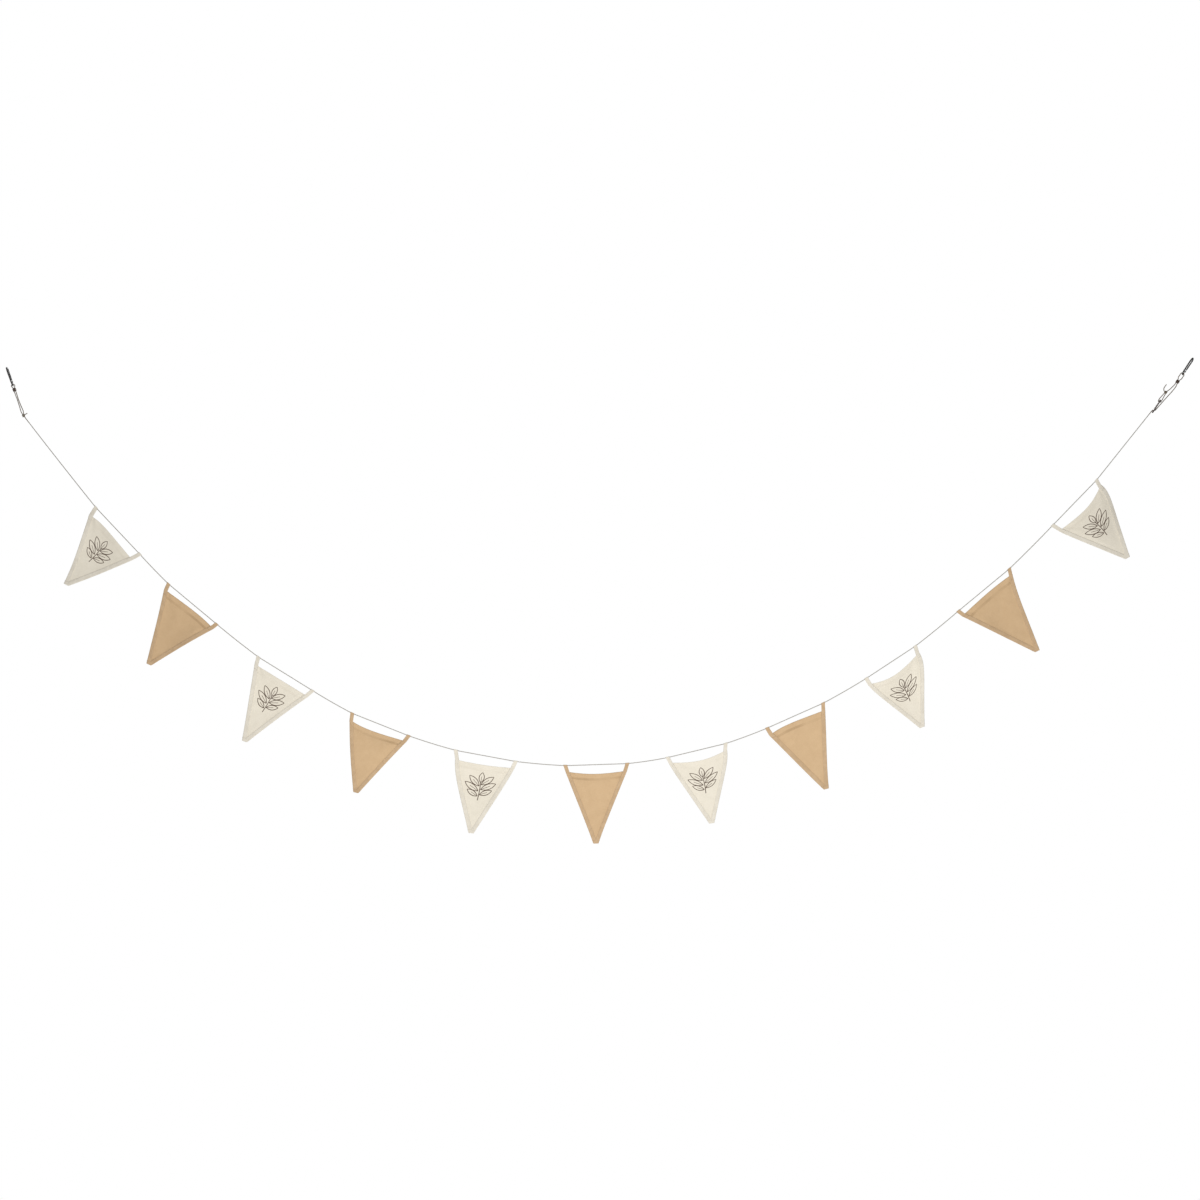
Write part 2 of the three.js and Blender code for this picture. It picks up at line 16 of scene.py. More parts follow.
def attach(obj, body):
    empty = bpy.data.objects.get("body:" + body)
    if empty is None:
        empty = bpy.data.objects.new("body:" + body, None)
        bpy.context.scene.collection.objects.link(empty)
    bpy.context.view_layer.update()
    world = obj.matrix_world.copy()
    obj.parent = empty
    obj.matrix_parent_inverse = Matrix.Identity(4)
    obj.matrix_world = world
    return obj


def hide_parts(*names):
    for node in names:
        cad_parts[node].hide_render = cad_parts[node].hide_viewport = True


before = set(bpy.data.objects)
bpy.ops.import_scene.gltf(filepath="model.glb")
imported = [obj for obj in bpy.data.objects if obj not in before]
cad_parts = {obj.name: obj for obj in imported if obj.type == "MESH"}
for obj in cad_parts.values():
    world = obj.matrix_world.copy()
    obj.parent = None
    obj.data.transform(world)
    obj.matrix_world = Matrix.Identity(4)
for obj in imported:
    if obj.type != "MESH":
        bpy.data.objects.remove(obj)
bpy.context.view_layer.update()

# %% [markdown]
# ## Where everything hangs
# A string of bunting is a chain of straight stretches, because the cord is light and
# only bends where a pennant pulls on it. So one row a pennant is enough: how much cord
# comes before it and at what slope, how much lies between its two loops, and then how
# its own cloth hangs. All are millimetres and degrees, turned into metres below.

# %% The pennants, from left to right
MM = 0.001
CLOTHS = ("cream", "tan")  # in turn
COLUMNS = (
    "gap gap_slope span span_slope width shift left_drop right_drop sag sag_at "
    "tip_shift tip_drop bow_left bow_right bow_at lean twist belly curl"
).split()
ROWS = (
    (386.6, -51.8, 210.2, -46.7, 204, 0, 32, 31, -8, 0.3, 13, 244, -5, 2, 0.59, -9, 4, 6, -3),
    (137.4, -46.1, 206, -39.8, 206, 1, 22, 19, -5, 0.64, 16, 245, -1, -2, 0.49, 7, -5, 5, 3),
    (175.9, -38.3, 210.2, -31.8, 204, 0, 26, 25, 0, 0.6, 3, 259, -1, -2, 0.43, -6, 5, 5, -3),
    (151.3, -29.8, 200, -21.7, 198, 0, 23, 21, 8, 0.38, 7, 238, 3, -1, 0.48, 10, 4, -6, 7),
    (163.3, -17.2, 200.4, -10.5, 195, 2, 30, 23, 4, 0.49, -1, 257, 8, 2, 0.3, -12, -5, 6, -4),
    (165.2, -4.8, 204.1, 1.9, 200, -1, 20, 24, 9, 0.47, -10, 259, -1, -2, 0.7, 6, 3, 7, 6),
    (135.3, 8.5, 196.3, 13.6, 195, -1, 18, 21, 15, 0.53, -8, 243, 2, 8, 0.25, -8, 6, -6, -5),
    (146.5, 20.4, 201.7, 24, 200, -3, 25, 23, -7, 0.34, -4, 262, 1, -2, 0.68, 9, -4, 5, 4),
    (164.8, 29.9, 192.8, 33.3, 197, -4, 20, 25, 20, 0.44, -30, 236, 4, 12, 0.24, 12, -7, 8, -6),
    (183.9, 39.2, 217.9, 39.6, 214, -2, 21, 19, -4, 0.56, 7, 266, 0, -4, 0.31, -7, 4, 5, 4),
    (203.6, 45.1, 206.9, 45.9, 204, 0, 29, 21, 16, 0.58, -8, 252, 2, 14, 0.24, 10, 6, -7, -5),
)
LENGTHS = set(COLUMNS) - {"gap_slope", "span_slope", "sag_at", "bow_at"}
PENNANTS = [
    {name: value * MM if name in LENGTHS else value for name, value in zip(COLUMNS, row)}
    for row in ROWS
]
for i, row in enumerate(PENNANTS):
    row["cloth"] = CLOTHS[i % len(CLOTHS)]
AWAY = Vector((0, 1, 0))
UP = Vector((0, 0, 1))


def in_string(x, z):
    """A point of the string's own plane, from millimetres."""
    return Vector((x * MM, 0, z * MM))


def slope(degrees):
    """The direction along the string at that slope."""
    return Vector((math.cos(math.radians(degrees)), 0, math.sin(math.radians(degrees))))


print("pennants:", len(PENNANTS), "cord between the first and last loop:",
      round(sum(p["gap"] + p["span"] for p in PENNANTS) - PENNANTS[0]["gap"], 3), "m")

# %% [markdown]
# ## Camera, light and floor
# The photograph is square and looks straight at the string from far away, so a long
# lens at twelve metres shows it without perspective. A big soft lamp stands in front of
# the middle, so the ends get less light, as they do in the photograph, and a wider one
# behind lights the cloth's back. The surroundings are seen as plain white but light the
# string only a fifth as much, or the cloth would lose its folds.

# %% Camera
PHOTO_SPAN = 3.96
CAMERA_AWAY = 12.0
PHOTO_CENTRE = Vector((1.9566, 0, -0.7633))
SENSOR = 36.0
SEES_UP_TO = 60

camera_data = bpy.data.cameras.new("camera")
camera_data.sensor_width = SENSOR
camera_data.lens = SENSOR * CAMERA_AWAY / PHOTO_SPAN
camera_data.clip_end = SEES_UP_TO
camera = bpy.data.objects.new("camera", camera_data)
camera.location = PHOTO_CENTRE - CAMERA_AWAY * AWAY
camera.rotation_euler = (math.pi / 2, 0, 0)
bpy.context.scene.collection.objects.link(camera)
bpy.context.scene.camera = camera
print("lens", round(camera_data.lens, 1), "mm")

# %% Lamps and surroundings
LAMPS = (
    # name, place, side of the square, watts
    ("key", (2.1, -3.5, -0.6), 1.8, 94),
    ("back", (2.0, 5.0, 1.5), 3.0, 150),
)
WORLD_SEEN = 1.0
WORLD_LIGHT = 0.21

for name, place, size, watts in LAMPS:
    data = bpy.data.lights.new(name, "AREA")
    data.shape = "SQUARE"
    data.size = size
    data.energy = watts
    lamp = bpy.data.objects.new(name, data)
    lamp.location = place
    lamp.rotation_euler = (PHOTO_CENTRE - Vector(place)).to_track_quat("-Z", "Y").to_euler()
    bpy.context.scene.collection.objects.link(lamp)

bpy.context.scene.view_settings.view_transform = "Standard"
world = bpy.data.worlds.new("studio")
bpy.context.scene.world = world
world.use_nodes = True
background = world.node_tree.nodes["Background"]
background.inputs["Color"].default_value = (1, 1, 1, 1)
paths = world.node_tree.nodes.new("ShaderNodeLightPath")
level = world.node_tree.nodes.new("ShaderNodeMapRange")
level.inputs["To Min"].default_value = WORLD_LIGHT
level.inputs["To Max"].default_value = WORLD_SEEN
world.node_tree.links.new(paths.outputs["Is Camera Ray"], level.inputs["Value"])
world.node_tree.links.new(level.outputs["Result"], background.inputs["Strength"])
print("the surroundings show white, and light the string at", WORLD_LIGHT)

# %% [markdown]
# ## Shader maths
# Cloth, cord and wood are all patterns that follow a surface, so their materials are
# formulas on its UV map. Wired by hand, a formula is dozens of nodes. The small class
# below wraps a socket instead, so that a formula is written as it is on
# paper and every operator in it adds its own node.

# %% The socket class
class Socket:
    """One output of a node, on which + - * / and a few functions add Math nodes."""

    def __init__(self, tree, socket):
        self.tree = tree
        self.socket = socket

    def node(self, kind, settings=None, **inputs):
        """Any node: its settings first, then the values or links of its sockets."""
        made = self.tree.nodes.new(kind)
        for name, value in (settings or {}).items():
            setattr(made, name, value)
        for name, value in inputs.items():
            numbered = name[0] == "i" and name[1:].isdigit()
            socket = made.inputs[int(name[1:]) if numbered else name.replace("_", " ")]
            if isinstance(value, Socket):
                self.tree.links.new(value.socket, socket)
            else:
                socket.default_value = value
        return made

    def out(self, kind, settings=None, output=0, **inputs):
        return Socket(self.tree, self.node(kind, settings, **inputs).outputs[output])

    def math(self, operation, *others):
        values = {f"i{i}": value for i, value in enumerate((self, *others))}
        return self.out("ShaderNodeMath", {"operation": operation}, **values)

    def __add__(self, other):
        return self.math("ADD", other)

    def __sub__(self, other):
        return self.math("SUBTRACT", other)

    def __rsub__(self, other):
        return self.out("ShaderNodeMath", {"operation": "SUBTRACT"}, i0=other, i1=self)

    def __mul__(self, other):
        return self.math("MULTIPLY", other)

    def __truediv__(self, other):
        return self.math("DIVIDE", other)

    def __abs__(self):
        return self.math("ABSOLUTE")

    def sin(self):
        return self.math("SINE")

    def fraction(self):
        return self.math("FRACT")

    def most(self, other):
        return self.math("MAXIMUM", other)

    def ramp(self, low, high, to_low=0.0, to_high=1.0):
        """Rises smoothly from to_low at low to to_high at high, and stays between them."""
        return self.out(
            "ShaderNodeMapRange", {"interpolation_type": "SMOOTHSTEP"},
            Value=self, From_Min=low, From_Max=high, To_Min=to_low, To_Max=to_high,
        )

    def mix_colour(self, first, second):
        """The first colour where self is 0, the second where it is 1."""
        return self.out(
            "ShaderNodeMix", {"data_type": "RGBA"}, output=2, i0=self, i6=first, i7=second
        )


print("a socket can:", [word for word in vars(Socket) if word[0] != "_"])


# %% The finish class
class Finish:
    """A new material with its shader, its UV map in metres and its Object coordinates."""

    def __init__(self, name, roughness, metallic=0.0, sheen=0.0):
        self.material = bpy.data.materials.new(name)
        self.material.use_nodes = True
        self.tree = self.material.node_tree
        self.shader = self.tree.nodes["Principled BSDF"]
        self.shader.inputs["Roughness"].default_value = roughness
        self.shader.inputs["Metallic"].default_value = metallic
        self.shader.inputs["Sheen Weight"].default_value = sheen
        places = self.tree.nodes.new("ShaderNodeTexCoord")
        self.uv = Socket(self.tree, places.outputs["UV"])
        self.place = Socket(self.tree, places.outputs["Object"])
        split = self.uv.node("ShaderNodeSeparateXYZ", i0=self.uv)
        self.across = Socket(self.tree, split.outputs[0])
        self.along = Socket(self.tree, split.outputs[1])

    def grain(self, scale, detail=2.0, rough=0.5, where=None):
        """Smooth noise from 0 to 1, scale features a metre."""
        return self.uv.out(
            "ShaderNodeTexNoise", {"noise_dimensions": "3D"},
            Vector=where or self.place, Scale=scale, Detail=detail, Roughness=rough,
        )

    def set(self, name, value):
        self.tree.links.new(value.socket, self.shader.inputs[name])

    def bump(self, height, strength, distance):
        relief = self.uv.node(
            "ShaderNodeBump", Height=height, Strength=strength, Distance=distance
        )
        self.tree.links.new(relief.outputs[0], self.shader.inputs["Normal"])


def linear(value):
    """The linear light of one 0 to 255 screen value, by the sRGB curve."""
    share = value / 255
    return share / 12.92 if share <= 0.04045 else ((share + 0.055) / 1.055) ** 2.4


def tint(red, green, blue):
    """A shader's colour from its screen values."""
    return tuple(linear(value) for value in (red, green, blue)) + (1.0,)


print("mid grey on the screen is", round(linear(128), 3), "in linear light")


# %% [markdown]
# ## Cotton
# The pennants are a plain weave: each thread goes over one and under the next. Two sine
# waves, one for each direction of thread, give that height. What the eye reads from a
# step away is coarser, though: slubs along single threads and a slight mottle where the
# cloth was woven less evenly. So those two go into the colour, and the weave into the bump.

# %% The cotton finish
THREAD = 0.55 * MM
SLUB_LONG, SLUB_SHORT = 60, 1800  # features a metre, along a thread and across it
MOTTLE, INK_PATCHES = 35, 900  # features a metre
HEM_STITCHES = 17.5 * MM
HEM_SHADOW = 6 * MM
HEM_FADING = 9  # features a metre
FOLD_SHADOW = 2.8 * MM
STITCH_LENGTH = 3.2 * MM
STITCH_HALF = (0.2 * MM, 0.4 * MM)
STITCH_SHARE = (0.36, 0.42)


def dashes(along):
    """1 on each stitch of a row, and 0 in the holes between them."""
    return abs((along / STITCH_LENGTH).fraction() - 0.5).ramp(*STITCH_SHARE, 1.0, 0.0)


def weave_height(finish, pitch):
    """A plain weave on the UV map: 0 in the gaps and 1 on top of a thread."""
    warp = (finish.across * (math.pi / pitch)).sin()
    weft = (finish.along * (math.pi / pitch)).sin()
    over = (warp * weft).ramp(-0.25, 0.25)
    return abs(warp) * over + abs(weft) * (1 - over)


def slubs(finish, stretch):
    """Thick places in single threads: noise drawn out along one direction of thread."""
    drawn = finish.uv.out("ShaderNodeMapping", i0=finish.uv, Scale=stretch)
    return finish.grain(1.0, detail=2.0, where=drawn)


def cotton(name, colour, shade, hem_shade, printed=False):
    """Plain woven cotton with the hem's stitches, painted shade along the hem and at the top fold,
    and the printed sprig where asked.
    """
    finish = Finish(name, roughness=0.92, sheen=0.12)
    warp_slubs = slubs(finish, (SLUB_SHORT, SLUB_LONG, 1))
    weft_slubs = slubs(finish, (SLUB_LONG, SLUB_SHORT, 1))
    threads = warp_slubs * 0.5 + weft_slubs * 0.5
    mottle = finish.grain(MOTTLE, detail=4.0)
    depth = threads.ramp(0.35, 0.65) * 0.7 + mottle.ramp(0.3, 0.7) * 0.3
    base = depth.mix_colour(shade, colour)
    weave = weave_height(finish, THREAD)
    # Painted shade: the colour darkens in a soft band along the hem's stitches, more in some
    # places than others, and at the top fold.
    from_hem = abs(abs(finish.along) - HEM_STITCHES)
    hem_dip_and_shade = from_hem.ramp(0.3 * MM, HEM_SHADOW, 1.0, 0.0)
    fold_shade = abs(finish.along).ramp(0.0, FOLD_SHADOW, 1.0, 0.0)
    fading = finish.grain(HEM_FADING, detail=1.0).ramp(0.38, 0.62, 0.15, 0.6)
    base = (hem_dip_and_shade * fading).most(fold_shade * 0.4).mix_colour(base, hem_shade)
    stitch = from_hem.ramp(*STITCH_HALF, 1.0, 0.0) * dashes(finish.across)
    base = stitch.mix_colour(base, colour)
    if printed:
        ink = sprig(finish)
        patchy = finish.grain(INK_PATCHES, detail=2.0).ramp(0.25, 0.5, 0.78, 1.0)
        base = (ink * patchy).mix_colour(base, INK)
    finish.set("Base Color", base)
    finish.bump(weave * 0.6 + threads * 0.8 + stitch * 1.2 - hem_dip_and_shade, 0.35, 0.3 * MM)
    return finish.material


print("threads in the cotton:", round(10 * MM / THREAD), "a centimetre")


# %% [markdown]
# ## The print
# Every second pennant carries a small drawing in thin dark lines. Here it is a sprig
# of our own: one stem with pairs of leaves, drawn as outlines. A leaf is a lens, so its
# outline is where the distance across it equals a parabola. That needs no picture, only
# a few sums for each leaf, and it stays sharp however near the camera comes.

# %% The sprig
INK = tint(78, 54, 38)
PRINT_DROP = 70 * MM
LINE = 1.5 * MM
STEM = (-46 * MM, 12 * MM)
STEM_BEND = 1.2 * MM
LEAVES = (
    # foot along the stem, turn from upright in degrees, length, half width
    (9, 0, 34, 8.0),
    (3, 50, 46, 8.5),
    (-2, -50, 46, 8.5),
    (-12, 62, 50, 8.6),
    (-18, -62, 50, 8.6),
    (-29, 64, 40, 7.4),
    (-34, -64, 38, 7.4),
)
LEAF_START = 1.15  # a leaf begins a little way off the stem


def stroke(distance, width=LINE):
    """1 on a line, where the distance to it is small, and 0 away from it."""
    return abs(distance).ramp(width * 0.55, width * 1.1, 1.0, 0.0)


def leaf(across, up, foot, turn, length, half_width):
    """The outline and the middle vein of one leaf, from metres and degrees."""
    c, s = math.cos(math.radians(turn)), math.sin(math.radians(turn))
    rise = across * s + (up - foot) * c
    side = across * c - (up - foot) * s
    share = rise * (2 / length) - LEAF_START
    edge = abs(side) - (1 - share * share) * half_width
    inside = abs(share).ramp(1.0, 1.04, 1.0, 0.0)
    vein = stroke(side, LINE * 0.6) * abs(share + 0.35).ramp(0.55, 0.6, 1.0, 0.0)
    return (stroke(edge) * inside).most(vein)


def sprig(finish):
    """The whole drawing, 1 where there is ink."""
    across = finish.across
    up = finish.along + PRINT_DROP
    foot, top = STEM
    length = top - foot
    from_middle = abs(up - (foot + top) / 2)
    on_stem = from_middle.ramp(length / 2 - 0.2 * MM, length / 2 + 0.6 * MM, 1.0, 0.0)
    bend = ((up - foot) * (math.pi / length)).sin() * STEM_BEND
    ink = stroke(across - bend) * on_stem
    for leaf_foot, turn, long, half_width in LEAVES:
        ink = ink.most(leaf(across, up, leaf_foot * MM, turn, long * MM, half_width * MM))
    return ink


# The third colour of each cloth is its painted shade along the hem and at the top fold.
cream_cotton = cotton(
    "cream_cotton", tint(244, 236, 220), tint(235, 227, 209), tint(229, 220, 203), printed=True
)
tan_cotton = cotton("tan_cotton", tint(220, 188, 147), tint(208, 175, 134), tint(168, 136, 98))
print("print on the cream pennants:", len(LEAVES), "leaves")

# %% [markdown]
# ## Binding tape
# The two long sides and the tip are bound with tape folded over the edge and sewn
# through. Tape is woven with fine ribs across it. It is sewn with one row of stitches
# close to its inner edge, and each stitch sinks into the cloth a little. Across the
# tape the UV map runs from the fold, so a stitch is a short dash at a fixed distance.

# %% The tape finish
TAPE_WIDTH = 13 * MM
STITCH_IN = 10.8 * MM
STITCH_DITCH = 1.6 * MM
RIB = 0.9 * MM
FINE_RIB = 0.6 * MM
TAPE_MOTTLE = 60  # features a metre


def tape_finish(name, colour, shade, thread):
    """Ribbed cotton tape with its row of stitches."""
    finish = Finish(name, roughness=0.88, sheen=0.1)
    rib = (finish.along * (2 * math.pi / RIB)).sin() * 0.5 + 0.5
    fine = (finish.across * (2 * math.pi / FINE_RIB)).sin() * 0.5 + 0.5
    mottle = finish.grain(TAPE_MOTTLE, detail=4.0).ramp(0.3, 0.7)
    base = (mottle * 0.7 + rib * 0.3).mix_colour(shade, colour)
    from_row = abs(abs(finish.across) - STITCH_IN)
    sunk = from_row.ramp(0.0, STITCH_DITCH)
    stitch = dashes(finish.along) * from_row.ramp(*STITCH_HALF, 1.0, 0.0)
    base = stitch.mix_colour(base, thread)
    finish.set("Base Color", base)
    finish.bump(rib * 0.25 + fine * 0.12 + sunk * 0.8 + stitch * 0.9, 0.55, 0.5 * MM)
    return finish.material


cream_tape = tape_finish(
    "cream_tape", tint(239, 232, 217), tint(227, 219, 203), tint(243, 237, 225)
)
tan_tape = tape_finish("tan_tape", tint(212, 181, 143), tint(196, 165, 128), tint(218, 190, 153))
print("tape", round(TAPE_WIDTH * 1000), "mm wide when folded")

# %% [markdown]
# ## A warped grid
# Cloth, tape and cord are all sheets that have been bent. Each starts from
# Blender's own grid, and one function says where every crossing of it goes. The grid's
# columns and rows also give the UV map, in metres of flat cloth, so that the weave
# keeps its scale however the piece hangs.

# %% The grid helper
def warped_grid(name, columns, rows, place, flat, closed=False):
    """A mesh object from a grid: place(column, row) is a point, flat(column, row) its UV."""
    bm = bmesh.new()
    bmesh.ops.create_grid(bm, x_segments=columns, y_segments=rows, size=1)
    uv = bm.loops.layers.uv.new("UVMap")
    counted = {
        vert: (round((vert.co.x + 1) / 2 * columns), round((vert.co.y + 1) / 2 * rows))
        for vert in bm.verts
    }
    for face in bm.faces:
        for loop in face.loops:
            loop[uv].uv = flat(*counted[loop.vert])
    for vert, (column, row) in counted.items():
        vert.co = place(column, row)
    if closed:
        bmesh.ops.remove_doubles(bm, verts=bm.verts, dist=1e-6)
    return finished(name, bm)


def finished(name, bm):
    """The mesh object of a bmesh, smooth and at the origin."""
    for face in bm.faces:
        face.smooth = True
    mesh = bpy.data.meshes.new(name)
    bm.to_mesh(mesh)
    bm.free()
    made = bpy.data.objects.new(name, mesh)
    bpy.context.scene.collection.objects.link(made)
    return made


def thicken(piece, amount, offset=0.0):
    """Gives a sheet its thickness."""
    wall = piece.modifiers.new("thickness", "SOLIDIFY")
    wall.thickness = amount
    wall.offset = offset
    wall.use_even_offset = False
    apply_modifiers(piece)


def apply_modifiers(piece):
    """Replaces a piece's mesh by what its modifiers make of it."""
    evaluated = piece.evaluated_get(bpy.context.evaluated_depsgraph_get())
    mesh = bpy.data.meshes.new_from_object(evaluated)
    piece.modifiers.clear()
    piece.data = mesh


def smoothstep(low, high, value):
    """Rises smoothly from 0 at low to 1 at high."""
    share = min(1.0, max(0.0, (value - low) / (high - low)))
    return share * share * (3 - 2 * share)


print("halfway up a smooth step:", smoothstep(0, 1, 0.5))

# %% [markdown]
# ## How one pennant hangs
# A pennant is a triangle with a blunt tip, held at its two top corners. Its
# surface is written as one formula of two shares: u from the left side to the right, and
# v from the top edge down to the tip. The formula lays out the outline first, with the
# top edge's sag and the sides' bow, and then moves the cloth towards or away from
# the camera: the tip leans, the sides twist, the middle bellies and the hem curls.

# %% The pennant's surface
CLOTH_TALL = 0.222
TIP_WIDE = 0.015
TIP_LEVELLING = 0.35
NARROW = 0.82  # the share of the way down where the cloth is too narrow to billow
CURL_DEPTH = 0.12
LEAN_BEND = 1.6
BILLOW_EARLY = 0.8
NEAR_BY = 1e-3


def hump(share, peak):
    """Rises from 0 at one end to 1 at the peak's share of the way, and falls to 0 at the other."""
    inside = min(1.0, max(0.0, share))
    return math.sin(math.pi * inside * (1 - peak) / (peak + inside * (1 - 2 * peak)))


class Pennant:
    """The shape that one pennant hangs in."""

    def __init__(self, row, left, right, slope_after):
        self.row = row
        self.left = left
        self.right = right
        self.along = (right - left).normalized()
        self.down = Vector((self.along.z, 0, -self.along.x))
        self.middle = (left + right) / 2
        self.cord_at = {
            -1: slope((row["gap_slope"] + row["span_slope"]) / 2),
            1: slope((row["span_slope"] + slope_after) / 2),
        }

    def width_at(self, v):
        return self.row["width"] * (1 - v) + TIP_WIDE * v

    def top_edge(self, u):
        row = self.row
        sag = row["sag"] * hump(u, row["sag_at"])
        drop = row["left_drop"] * (1 - u) + row["right_drop"] * u + sag
        return row["width"] * (u - 0.5) + row["shift"], drop

    def tip_edge(self, u):
        row = self.row
        turn = math.radians(TIP_LEVELLING * row["span_slope"])
        reach = TIP_WIDE * (u - 0.5)
        return row["tip_shift"] + reach * math.cos(turn), row["tip_drop"] + reach * math.sin(turn)

    def out_of_plane(self, u, v):
        row = self.row
        side = 2 * u - 1
        across = 1 - side * side
        billow = math.sin(math.pi * min(1.0, v / NARROW) ** BILLOW_EARLY) ** 2
        roll = math.exp(-((v / CURL_DEPTH) ** 2))
        return (
            row["lean"] * v ** LEAN_BEND
            + row["twist"] * side * billow
            + (row["belly"] * billow + row["curl"] * roll) * across
        )

    def point(self, u, v):
        row = self.row
        top_along, top_drop = self.top_edge(u)
        tip_along, tip_drop = self.tip_edge(u)
        bow = row["bow_right"] * u * u - row["bow_left"] * (1 - u) ** 2
        along = top_along * (1 - v) + tip_along * v + bow * hump(v, row["bow_at"])
        drop = top_drop * (1 - v) + tip_drop * v
        return (
            self.middle
            + self.along * along
            + self.down * drop
            + AWAY * self.out_of_plane(u, max(v, 0.0))
        )

    def normal(self, u, v):
        """Square to the cloth, towards the camera."""
        across = self.point(u + NEAR_BY, v) - self.point(u - NEAR_BY, v)
        fall = self.point(u, v + NEAR_BY) - self.point(u, v - NEAR_BY)
        return fall.cross(across).normalized()

    def at(self, u, v, height):
        return self.point(u, v) + self.normal(u, v) * height


print("cloth from fold to tip:", round(CLOTH_TALL * 1000), "mm")

# %% Hang them along the cord
LEFT_HANG = Vector((0, 0, 0))
LEFT_AXIS = Vector((0.331, 0, -0.944)).normalized()
LEFT_KNOT_AT = 164 * MM
KNOT_ROOM = 6.5 * MM
LAST_SLOPE = 50

left_knot_place = LEFT_HANG + LEFT_AXIS * LEFT_KNOT_AT
pennants = []
here = left_knot_place
for i, row in enumerate(PENNANTS):
    left = here + slope(row["gap_slope"]) * row["gap"]
    right = left + slope(row["span_slope"]) * row["span"]
    slope_after = PENNANTS[i + 1]["gap_slope"] if i + 1 < len(PENNANTS) else LAST_SLOPE
    pennants.append(Pennant(row, left, right, slope_after))
    here = right
last_loop = here
print("last loop at", [round(c, 3) for c in last_loop])

# %% [markdown]
# ## The cloth of a pennant
# The triangle is cut with a hem allowance at the top, which is turned over to the back and
# sewn down. One grid makes both: its first rows run up the back to the fold, and the
# rest come down the front. Real cotton is never as smooth as a formula, so three
# small movements are added inside the binding: soft drag lines from the two corners
# that carry the weight, puckers beside the seams, and a slow unevenness. The print is
# on one side only, so the back is moved to a place on the UV map that has no ink.

# %% The panels
PANEL_COLUMNS = 56
HEM = 0.020
HEM_LIFT = 0.0009
CLOTH_THICK = 0.0006
FOLD_OVER = 0.0015
FRONT_STEPS = 62
HEM_ROWS = [-HEM, -0.015, -0.010, -0.005, -FOLD_OVER, -0.0006]
FRONT_ROWS = [0.0, 0.0006, FOLD_OVER]
FRONT_ROWS += [CLOTH_TALL * (i / FRONT_STEPS) for i in range(1, FRONT_STEPS + 1)]
FLAT_FROM, FLAT_TO = 0.78, 0.9  # shares of the way down, where the folds fade out
CORNER = (0.46, 0.01)  # share of the width from the middle, metres above the edge
DRAG_HIGH, DRAG_REACH, DRAG_LINES = 0.0016, 0.055, 9  # the last in waves a radian
PUCKER_HIGH, PUCKER_REACH, PUCKER_PITCH = 0.0007, 0.020, 0.021
UNEVEN_HIGH, UNEVEN_ACROSS, UNEVEN_DOWN = 0.0018, 16, 11  # features a metre
FINE_HIGH, FINE_ACROSS, FINE_DOWN = 0.0005, 45, 38  # features a metre
RIDGE_DEEP, RIDGE_WIDE = 0.00045, 0.0022
OFF_PRINT = 1.0  # a metre aside on the UV map there is no ink


def cloth_relief(pennant, seed, u, v):
    """The small folds: how far the cloth stands off the plain surface at (u, v)."""
    wide = pennant.width_at(v)
    x, y = (u - 0.5) * wide, v * CLOTH_TALL
    to_side = min(u, 1 - u) * wide
    inside = smoothstep(TAPE_WIDTH * 0.9, TAPE_WIDTH * 1.9, to_side)
    held = inside * (1 - smoothstep(FLAT_FROM, FLAT_TO, v))
    drag = 0.0
    for side in (-1, 1):
        dx, dy = x - side * pennant.row["width"] * CORNER[0], y + CORNER[1]
        far = math.hypot(dx, dy)
        turn = math.atan2(dy, -side * dx)
        drag += math.exp(-far / DRAG_REACH) * math.cos(turn * DRAG_LINES + seed + side) * DRAG_HIGH
    ripple = math.sin(y * 2 * math.pi / PUCKER_PITCH + seed * 3)
    pucker = math.exp(-to_side / PUCKER_REACH) * ripple * PUCKER_HIGH
    slow = Vector((x * UNEVEN_ACROSS + seed * 7, y * UNEVEN_DOWN, seed))
    quick = Vector((x * FINE_ACROSS - seed * 3, y * FINE_DOWN, seed + 9))
    uneven = noise.noise(slow) * UNEVEN_HIGH
    fine = noise.noise(quick) * FINE_HIGH
    ridge = math.exp(-(((y - HEM) / RIDGE_WIDE) ** 2)) * -RIDGE_DEEP
    return (drag + pucker + uneven + fine) * held + ridge * inside


def moved_off_print(piece):
    """Puts the faces that look away from the camera a metre aside on the UV map."""
    bm = bmesh.new()
    bm.from_mesh(piece.data)
    uv = bm.loops.layers.uv.active
    for face in bm.faces:
        if face.normal.y > 0:
            for loop in face.loops:
                loop[uv].uv.x += OFF_PRINT
    bm.to_mesh(piece.data)
    bm.free()


def make_panel(pennant, number):
    """One pennant's cloth, with the hem turned to the back."""
    rows = HEM_ROWS + FRONT_ROWS

    def spread(column, row):
        down = rows[row]
        u = column / PANEL_COLUMNS
        v = abs(down) / CLOTH_TALL
        behind = HEM_LIFT * smoothstep(0.0, FOLD_OVER, -down)
        return pennant.at(u, v, cloth_relief(pennant, number, u, v) - behind)

    def flat(column, row):
        down = rows[row]
        u = column / PANEL_COLUMNS
        return ((u - 0.5) * pennant.width_at(abs(down) / CLOTH_TALL), -down)

    name = f"pennant_{number:02d}_cloth"
    piece = warped_grid(name, PANEL_COLUMNS, len(rows) - 1, spread, flat)
    thicken(piece, CLOTH_THICK)
    moved_off_print(piece)
    return piece


print("a panel's grid:", PANEL_COLUMNS, "by", len(HEM_ROWS + FRONT_ROWS) - 1)

# %% [markdown]
# ## The binding of a pennant
# One tape covers both long sides and the tip, and its two ends carry on upwards as
# the loops that the cord runs through. Each run of it is a grid again: the columns go
# round the folded section, from the front inner edge over the fold to the back one, and
# the rows run along the seam.

